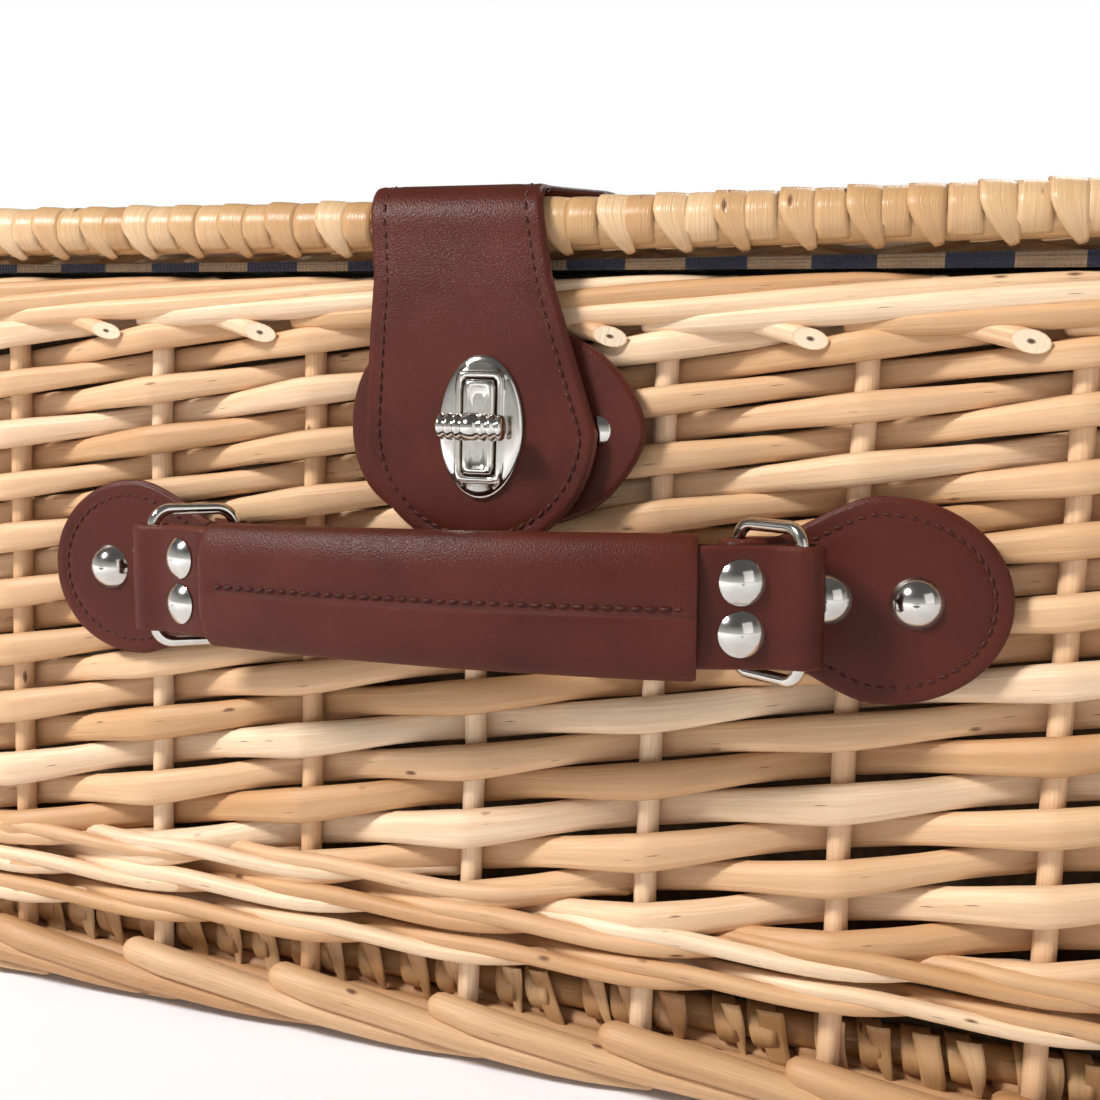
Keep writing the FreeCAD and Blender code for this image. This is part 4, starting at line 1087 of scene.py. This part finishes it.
def make_patches():
    """Teardrop patches under the handle's ends, each looped round the inner bar of its ring."""
    radius, middle, bar, bar_out = 21 * MM, 87.5 * MM, 58.3 * MM, 10.5 * MM
    for side, name, far in ((-1, "left", 109.5), (1, "right", 112.0)):
        flat = [(far, 6.5), (80, 6.5), (74, 6.6), (69, 7.4), (64, 10.0), (61.2, 11.7)]
        turn = np.radians(np.linspace(70, 290, 26))
        arc = np.stack([bar + 1.75 * MM * np.cos(turn), bar_out + 1.75 * MM * np.sin(turn)], axis=-1)
        tail = np.array([(60.2, 8.0), (64, 5.4), (68, 4.2)]) * MM
        path = np.vstack([np.array(flat) * MM, arc, tail])
        points = joined(in_handle(side * path[:, 0], path[:, 1], 0.0))
        up = np.array(HANDLE.to_3x3() @ Vector((0, 0, 1)))
        spine = Spine(points, up)
        if spine.normals[3][1] > 0:
            spine.normals *= -1
        round_run = far * MM - middle
        loop_start = round_run + (middle - bar) - 4 * MM

        def half(s, round_run=round_run, loop_start=loop_start):
            s = np.asarray(s, float)
            begin = radius * np.sqrt(np.clip(1 - np.clip(1 - s / round_run, 0, None) ** 2, 0, None))
            share = np.clip((s - round_run - 1 * MM) / (loop_start - round_run), 0, 1)
            ease = share * share * (3 - 2 * share)
            return np.minimum(begin, radius + (12 * MM - radius) * ease)

        hide(
            f"handle_patch_{name}_leather",
            spine,
            rows_between(0.05 * MM, spine.length, round_start=True, count=190),
            lambda s: -half(s),
            half,
            3.0 * MM * 0.8,
            "basket",
            [f"handle_patch_{name}"],
            sew=lambda s, x, stop=loop_start: s < stop - 9 * MM,
            bulge=0.6 * MM,
        )


def make_end_straps():
    """Doubled strap ends: out of the sleeve, round the ring's outer bar and back."""
    angle = math.radians(38)
    bar = mm([58.3 + 18.0 * math.cos(angle), 10.5 + 18.0 * math.sin(angle)])
    pivot = mm([55.0, 27.8])
    way = unit((bar - pivot)[None])[0]
    normal = np.array([-way[1], way[0]])
    if normal[1] < 0:
        normal = -normal
    stops = (0, 3, 6, 9, 12, 14, 16, 17.6)

    def leaf(way_out):
        """Points from the pivot to the loop, on one side of the middle of the doubled strap."""
        gaps = [0.25 * MM + 2.35 * MM * max(0, (k - 11) / 7.5) ** 1.6 for k in stops]
        return [pivot + way * k * MM + way_out * normal * gap for k, gap in zip(stops, gaps)]

    start = math.atan2(normal[1], normal[0])
    turn = start - np.linspace(0.05, math.pi - 0.05, 24)
    arc = bar + 2.6 * MM * np.stack([np.cos(turn), np.sin(turn)], axis=-1)
    outer = [mm([46.0, 28.9]), mm([51.0, 28.3])] + leaf(1)
    inner = leaf(-1)[::-1] + [mm([51.0, 27.6]), mm([46.0, 28.3])]
    path = np.vstack([outer, arc, inner])
    for side, name in ((-1, "left"), (1, "right")):
        points = joined(in_handle(side * path[:, 0], path[:, 1], 0.0))
        up = np.array(HANDLE.to_3x3() @ Vector((0, 0, 1)))
        spine = Spine(points, up)
        if spine.normals[12][1] > 0:
            spine.normals *= -1
        tall = 12.0 * MM
        ends = [in_handle(side * k * MM, 27.8 * MM, 0.0).tolist() for k in (53.0, 57.0)]
        hide(
            f"handle_end_{name}_leather",
            spine,
            np.linspace(0, spine.length, 120),
            lambda s: np.full_like(np.asarray(s, float), -tall),
            lambda s: np.full_like(np.asarray(s, float), tall),
            2.0 * MM,
            ("grip", f"handle_end_{name}", *ends),
            [f"handle_end_{name}"],
        )


def make_sleeve():
    """A leather sleeve folded round the grip and sewn along the middle of its front."""
    half, bow, end_out = 53.6 * MM, 4.5 * MM, 27.8 * MM
    curve = (0.052**2 + bow**2) / (2 * bow)
    lips = mm([0, 0.15, 0.5])
    middle = np.linspace(-half + 1.2 * MM, half - 1.2 * MM, 110)
    along = np.concatenate([-half + lips, middle, half - lips[::-1]])
    count = 96
    angle = np.linspace(0, 2 * math.pi, count, endpoint=False)

    def section(thick, tall, power=2.5):
        return thick * squared(np.cos(angle), 2 / power), tall * squared(np.sin(angle), 2 / power)

    def bent(x, depth, rise):
        turn = x / curve
        reach = curve + depth
        return in_handle(reach * np.sin(turn), end_out + bow - curve + reach * np.cos(turn), rise)

    strands = Strands()
    shells = []
    for thick, tall, outer in ((5.25 * MM, 13.5 * MM, True), (3.9 * MM, 12.2 * MM, False)):
        depth, rise = section(thick, tall)
        rings = []
        for x in along:
            edge = np.clip((half - abs(x)) / (1.1 * MM), 0, 1)
            lip = math.sqrt(max(0, 1 - (1 - edge) ** 2))
            squeeze = (1 - lip) * 0.55 * MM * (-1 if outer else 1)
            wave = 0.22 * MM * math.sin(x * 70 + 0.6) + 0.12 * MM * math.sin(x * 190)
            seam = np.exp(-((rise / (1.5 * MM)) ** 2)) * (np.cos(angle) > 0)
            seam = seam * np.clip((51.5 * MM - abs(x)) / (3 * MM), 0, 1)
            swell = 0.25 * MM * np.cos(2 * angle + x * 25)
            d = depth + np.sign(np.cos(angle)) * squeeze
            if outer:
                d = d - 0.75 * MM * seam + wave * 0.3 + swell * 0.35
            r = rise + np.sin(angle) * squeeze
            rings.append(bent(x, d, r * (1.035 + 0.035 * x / half) - 0.3 * MM))
        shells.append(np.array(rings))
    n = len(along)
    girth = angle / (2 * math.pi) * 62 * MM
    uvs = np.stack(np.broadcast_arrays(girth[None, :], along[:, None] + 0.3), axis=-1)
    raw = np.clip(1.2 - (half - np.abs(along)) / (0.5 * MM), 0, 1) * 0.85
    verts = np.concatenate([shells[0].reshape(-1, 3), shells[1].reshape(-1, 3)])
    total = n * count
    faces = []
    for a, b, c, d in ring_faces(n, count):
        faces.append((a, b, c, d))
        faces.append((a + total, d + total, c + total, b + total))
    for i in (0, n - 1):
        for j in range(count):
            k = (j + 1) % count
            faces.append((i * count + j, i * count + k, total + i * count + k, total + i * count + j))
    cut = np.tile(np.repeat(raw, count), 2)
    strands.add(verts, faces, np.tile(uvs.reshape(-1, 2), (2, 1)), 0.5, cut)
    strands.mesh("handle_sleeve_leather", LEATHER, "grip", ["handle_sleeve"], "leather")

    strands = Strands()
    up = np.array(HANDLE.to_3x3() @ Vector((0, -1, 0)))
    for x in np.arange(-49.5, 49.6, 2.75) * MM:
        share = np.linspace(0, 1, 5)
        spots = x + 1.95 * MM * share
        rise = 0.35 * MM * (share - 0.5)
        depth = 4.85 * MM + mm([-0.4, 0.02, 0.1, 0.02, -0.4])
        path = np.array([bent(a, d, r) for a, d, r in zip(spots, depth, rise)])
        stitch(strands, path, 0.36 * MM, up)
    strands.mesh("handle_sleeve_stitches", THREAD, "grip", (), "leather")


def make_hinge_straps():
    """Strap hinges: up the back wall and over the lid's back rim."""
    for side, name in ((-1, "left"), (1, "right")):
        x = side * 110 * MM
        bend_level = LID_TOP - 6.0 * MM
        arc = over_rim(1.0 * MM, bend_level, BACK_Y, 1)[::-1]
        wall = np.linspace((0, BACK_Y + 7.3 * MM, 140 * MM), arc[0], 60)
        top = np.linspace(arc[-1], (0, BACK_Y - 48 * MM, bend_level + RIM_REACH), 40)
        points = joined(wall, arc, top)
        spine = Spine(points, (1, 0, 0))
        if spine.normals[3][1] < 0:
            spine.normals *= -1
        round_off = 5 * MM

        def half(s, whole=spine.length):
            gap = np.clip(round_off - np.minimum(s, whole - s), 0, None)
            return 15 * MM - round_off + np.sqrt(np.clip(round_off**2 - gap**2, 0, None))

        blend = ("basket", "lid", (x, BACK_Y + 8.5 * MM, 0.1796), (x, BACK_Y + 8.5 * MM, 0.1876))
        tips = mm([0.03, 0.3, 1, 2, 3.4])
        between = np.linspace(5 * MM, spine.length - 5 * MM, 110)
        stops = np.concatenate([tips, between, spine.length - tips[::-1]])
        hide(
            f"hinge_strap_{name}",
            spine,
            stops,
            lambda s: x - half(s),
            lambda s: x + half(s),
            LEATHER_THICK,
            blend,
            [f"hinge_strap_{name}_lower", f"hinge_strap_{name}_upper"],
            sew=lambda s, x: True,
        )


# ---------------------------------------------------------------- turn-lock

LOOP_POINTS = 64


def oval(half_x, half_z):
    """Points round an ellipse in x and z, about the lock's axis."""
    angle = np.linspace(0, 2 * math.pi, LOOP_POINTS, endpoint=False)
    return np.stack([CLASP_X + half_x * np.cos(angle), CLASP_Z + half_z * np.sin(angle)], axis=-1)


def block_loop(half_x, half_z, power=14.0):
    """Points round a rectangle with slightly round corners, about the lock's axis."""
    angle = np.linspace(0, 2 * math.pi, LOOP_POINTS, endpoint=False)
    c, s = np.cos(angle), np.sin(angle)
    reach = (np.abs(c / half_x) ** power + np.abs(s / half_z) ** power) ** (-1 / power)
    return np.stack([CLASP_X + reach * c, CLASP_Z + reach * s], axis=-1)


def stack_loops(name, loops, body, replaces, closed=False):
    """A metal piece through loops, each (outline, half x, half z, distance out) in millimetres."""
    strands = Strands()
    verts = []
    for outline, half_x, half_z, out in loops:
        flat = outline(half_x * MM, half_z * MM)
        verts.append(np.column_stack([flat[:, 0], np.full(LOOP_POINTS, FRONT_Y - out * MM), flat[:, 1]]))
    faces = ring_faces(len(verts), LOOP_POINTS)
    if closed:
        faces.append(tuple((len(verts) - 1) * LOOP_POINTS + j for j in range(LOOP_POINTS)))
    verts = np.concatenate(verts)
    strands.add(verts, faces, verts[:, [0, 2]], 0.5)
    strands.mesh(name, NICKEL, body, replaces, "nickel")


def softer_block(half_x, half_z):
    """A rectangle with rounder corners."""
    return block_loop(half_x, half_z, power=8)


def make_lock():
    """Oval slot plate with a raised lip, the lug through it and the ribbed turn bar."""
    loops = [
        (oval, 9.5, 15.25, 13.3),
        (oval, 9.5, 15.25, 13.9),
        (oval, 9.35, 15.1, 14.3),
        (oval, 8.9, 14.6, 14.62),
        (oval, 7.9, 13.6, 14.85),
        (softer_block, 5.7, 12.0, 14.95),
        (block_loop, 5.35, 11.7, 15.05),
        (block_loop, 5.15, 11.5, 15.55),
        (block_loop, 4.95, 11.3, 15.7),
        (block_loop, 4.35, 10.75, 15.7),
        (block_loop, 4.1, 10.5, 15.5),
        (block_loop, 4.1, 10.5, 13.0),
    ]
    stack_loops("slot_plate_oval", loops, "clasp_flap", ["slot_plate"])
    lug = [
        (block_loop, 3.5, 10.0, 9.8),
        (block_loop, 3.5, 10.0, 15.6),
        (block_loop, 3.25, 9.75, 16.05),
        (block_loop, 2.75, 9.2, 16.2),
        (block_loop, 2.3, 8.7, 16.2),
        (block_loop, 2.1, 8.5, 15.95),
        (block_loop, 1.2, 7.0, 15.9),
    ]
    stack_loops("lock_lug_bevelled", lug, "basket", ["lock_lug"], closed=True)

    strands = Strands()
    # The bar's left half as (place across, radius) in millimetres; its right half mirrors it.
    left = [(-8.5, 1.3), (-8.35, 2.1), (-7.9, 2.6), (-7.2, 2.75), (-6.7, 2.2), (-6.2, 2.2), (-5.8, 2.8)]
    left += [(-5.0, 2.85), (-4.5, 2.3), (-4.0, 2.3), (-3.6, 2.85), (-2.8, 2.9), (-2.3, 2.4), (-1.9, 2.5)]
    left += [(-1.5, 2.95), (0, 3.0)]
    profile = np.array(left + [(-a, b) for a, b in left[-2::-1]])
    spots, radii = profile[:, 0] * 0.88 * MM, profile[:, 1] * MM
    count = len(spots)
    path = np.column_stack([CLASP_X + spots, np.full(count, FRONT_Y - 19.6 * MM), np.full(count, CLASP_Z)])
    rod(strands, path, radii, radii, 0.5, sides=28, ends="flat")
    shaft_out = np.linspace(12, 18.5, 12) * MM
    shaft = np.column_stack([np.full(12, CLASP_X), FRONT_Y - shaft_out, np.full(12, CLASP_Z)])
    girth = np.interp(np.arange(12), [0, 6, 8, 11], mm([1.8, 1.8, 2.3, 2.6]))
    rod(strands, shaft, girth, girth, 0.5, sides=24, ends="open")
    strands.mesh("turn_bar", NICKEL, "turn_knob", ["turn_knob"], "nickel")


def dome_rivets(name, places, normal, radius, rise, body, replaces):
    """Domed heads with a fine skirt, standing on places."""
    strands = Strands()
    normal = np.asarray(normal, float)
    side = unit(np.cross(normal, (0.3, 0.5, 0.8))[None])[0]
    level = np.radians([90, 78, 64, 50, 36, 22, 8, 0])
    for place in places:
        path = np.array([place + normal * rise * math.cos(a) for a in level])
        path = np.vstack([place - normal * 0.6 * MM, path])
        radii = np.maximum(np.concatenate([[radius], radius * np.sin(level)]), 0.02 * MM)
        rod(strands, path, radii, radii, 0.5, up=side, sides=28, ends="open")
    strands.mesh(name, NICKEL, body, replaces, "nickel")


def dress_cad():
    """Give every CAD node that stays in view its own material."""
    for name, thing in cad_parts.items():
        if any(word in name for word in ("rivet", "washer", "ring_", "lock_base")):
            material, slot = NICKEL, "nickel"
        else:
            material, slot = LEATHER, "leather"
        thing.data.materials.clear()
        thing.data.materials.append(material)


make_weave()
make_stakes()
make_wale()
make_foot()
make_border()
make_base()
make_lid()
make_linings()
make_clasp()
make_patches()
make_end_straps()
make_sleeve()
make_hinge_straps()
make_lock()
dress_cad()

# ---------------------------------------------------------------- stage

SKY = [(0.02, 0.85), (0.42, 0.16)]
SKY_STRENGTH = 0.75
LAMPS = [
    ("key", (-0.95, -1.0, 1.15), 0.36, 39.0),
    ("fill", (1.2, -1.0, 0.5), 1.0, 2.5),
    ("rim", (0.4, 1.3, 1.3), 0.8, 9.0),
]


def make_stage():
    """A pale floor that glows more with distance from the middle, as painted light, under a white backdrop
    dome, a dim sky and soft light from the upper left.
    """
    bpy.ops.mesh.primitive_circle_add(vertices=96, radius=6, fill_type="NGON")
    floor = bpy.context.object
    floor.name = "floor"
    m = Nodes("floor_white")
    place = m.node("TexCoord").outputs["Object"]
    tint = m.ramp(m.noise(place, 3.0), [(0.0, (0.89, 0.90, 0.94)), (1.0, (0.92, 0.93, 0.97))])
    # Painted light: the floor glows faintly near the middle and more further out, so that it reads white away
    # from the hamper.
    reach = m.node("VectorMath", {0: place}, operation="LENGTH").outputs["Value"]
    glow_by_distance = {"From Min": 0.35, "From Max": 1.5, "To Min": 0.02, "To Max": 0.75}
    glow = m.node("MapRange", {"Value": reach} | glow_by_distance)
    m.shader.inputs["Emission Color"].default_value = (1, 1, 1, 1)
    m.link(glow.outputs[0], m.shader.inputs["Emission Strength"])
    floor.data.materials.append(m.set(colour=tint, rough=0.7))
    bpy.ops.mesh.primitive_uv_sphere_add(segments=64, ring_count=32, radius=6)
    dome = bpy.context.object
    dome.name = "backdrop"
    white = Nodes("backdrop_white")
    white.shader.inputs["Base Color"].default_value = (0, 0, 0, 1)
    white.shader.inputs["Specular IOR Level"].default_value = 0
    white.shader.inputs["Emission Color"].default_value = (1, 1, 1, 1)
    white.shader.inputs["Emission Strength"].default_value = 1.0
    dome.data.materials.append(white.material)
    for ray in ("diffuse", "glossy", "transmission", "volume_scatter", "shadow"):
        setattr(dome, f"visible_{ray}", False)

    world = bpy.data.worlds.new("studio")
    bpy.context.scene.world = world
    world.use_nodes = True
    tree = world.node_tree
    direction = tree.nodes.new("ShaderNodeTexCoord")
    split = tree.nodes.new("ShaderNodeSeparateXYZ")
    ramp = tree.nodes.new("ShaderNodeValToRGB")
    tree.links.new(direction.outputs["Generated"], split.inputs[0])
    tree.links.new(split.outputs["Z"], ramp.inputs["Fac"])
    tree.links.new(ramp.outputs["Color"], tree.nodes["Background"].inputs["Color"])
    for element, (place, value) in zip(ramp.color_ramp.elements, SKY):
        element.position = place
        element.color = (value, value, value, 1)
    tree.nodes["Background"].inputs["Strength"].default_value = SKY_STRENGTH

    centre = Vector((0, FRONT_Y, 0.1))
    for name, place, size, power in LAMPS:
        light = bpy.data.lights.new(name, "AREA")
        light.size, light.energy = size, power
        lamp = bpy.data.objects.new(name, light)
        bpy.context.scene.collection.objects.link(lamp)
        lamp.location = centre + Vector(place)
        lamp.rotation_euler = (centre - lamp.location).to_track_quat("-Z", "Y").to_euler()


def make_camera():
    """The camera stands near the front, a little right of the middle, and looks left and down."""
    yaw, pitch, roll = -0.2992, -0.1095, 0.0304
    forward = Vector((math.sin(yaw) * math.cos(pitch), math.cos(yaw) * math.cos(pitch), math.sin(pitch)))
    level = Vector((math.cos(yaw), -math.sin(yaw), 0))
    steep = level.cross(forward)
    right = level * math.cos(roll) + steep * math.sin(roll)
    upward = -level * math.sin(roll) + steep * math.cos(roll)
    data = bpy.data.cameras.new("camera")
    data.sensor_width = 36.0
    data.lens = 40.91
    data.clip_start, data.clip_end = 0.01, 50
    camera = bpy.data.objects.new("camera", data)
    bpy.context.scene.collection.objects.link(camera)
    spin = Matrix((right, upward, -forward)).transposed().to_4x4()
    camera.matrix_world = Matrix.Translation((0.0982, FRONT_Y - 0.26417, 0.15173)) @ spin
    bpy.context.scene.camera = camera


make_stage()
make_camera()
bpy.context.scene.view_settings.view_transform = "Standard"
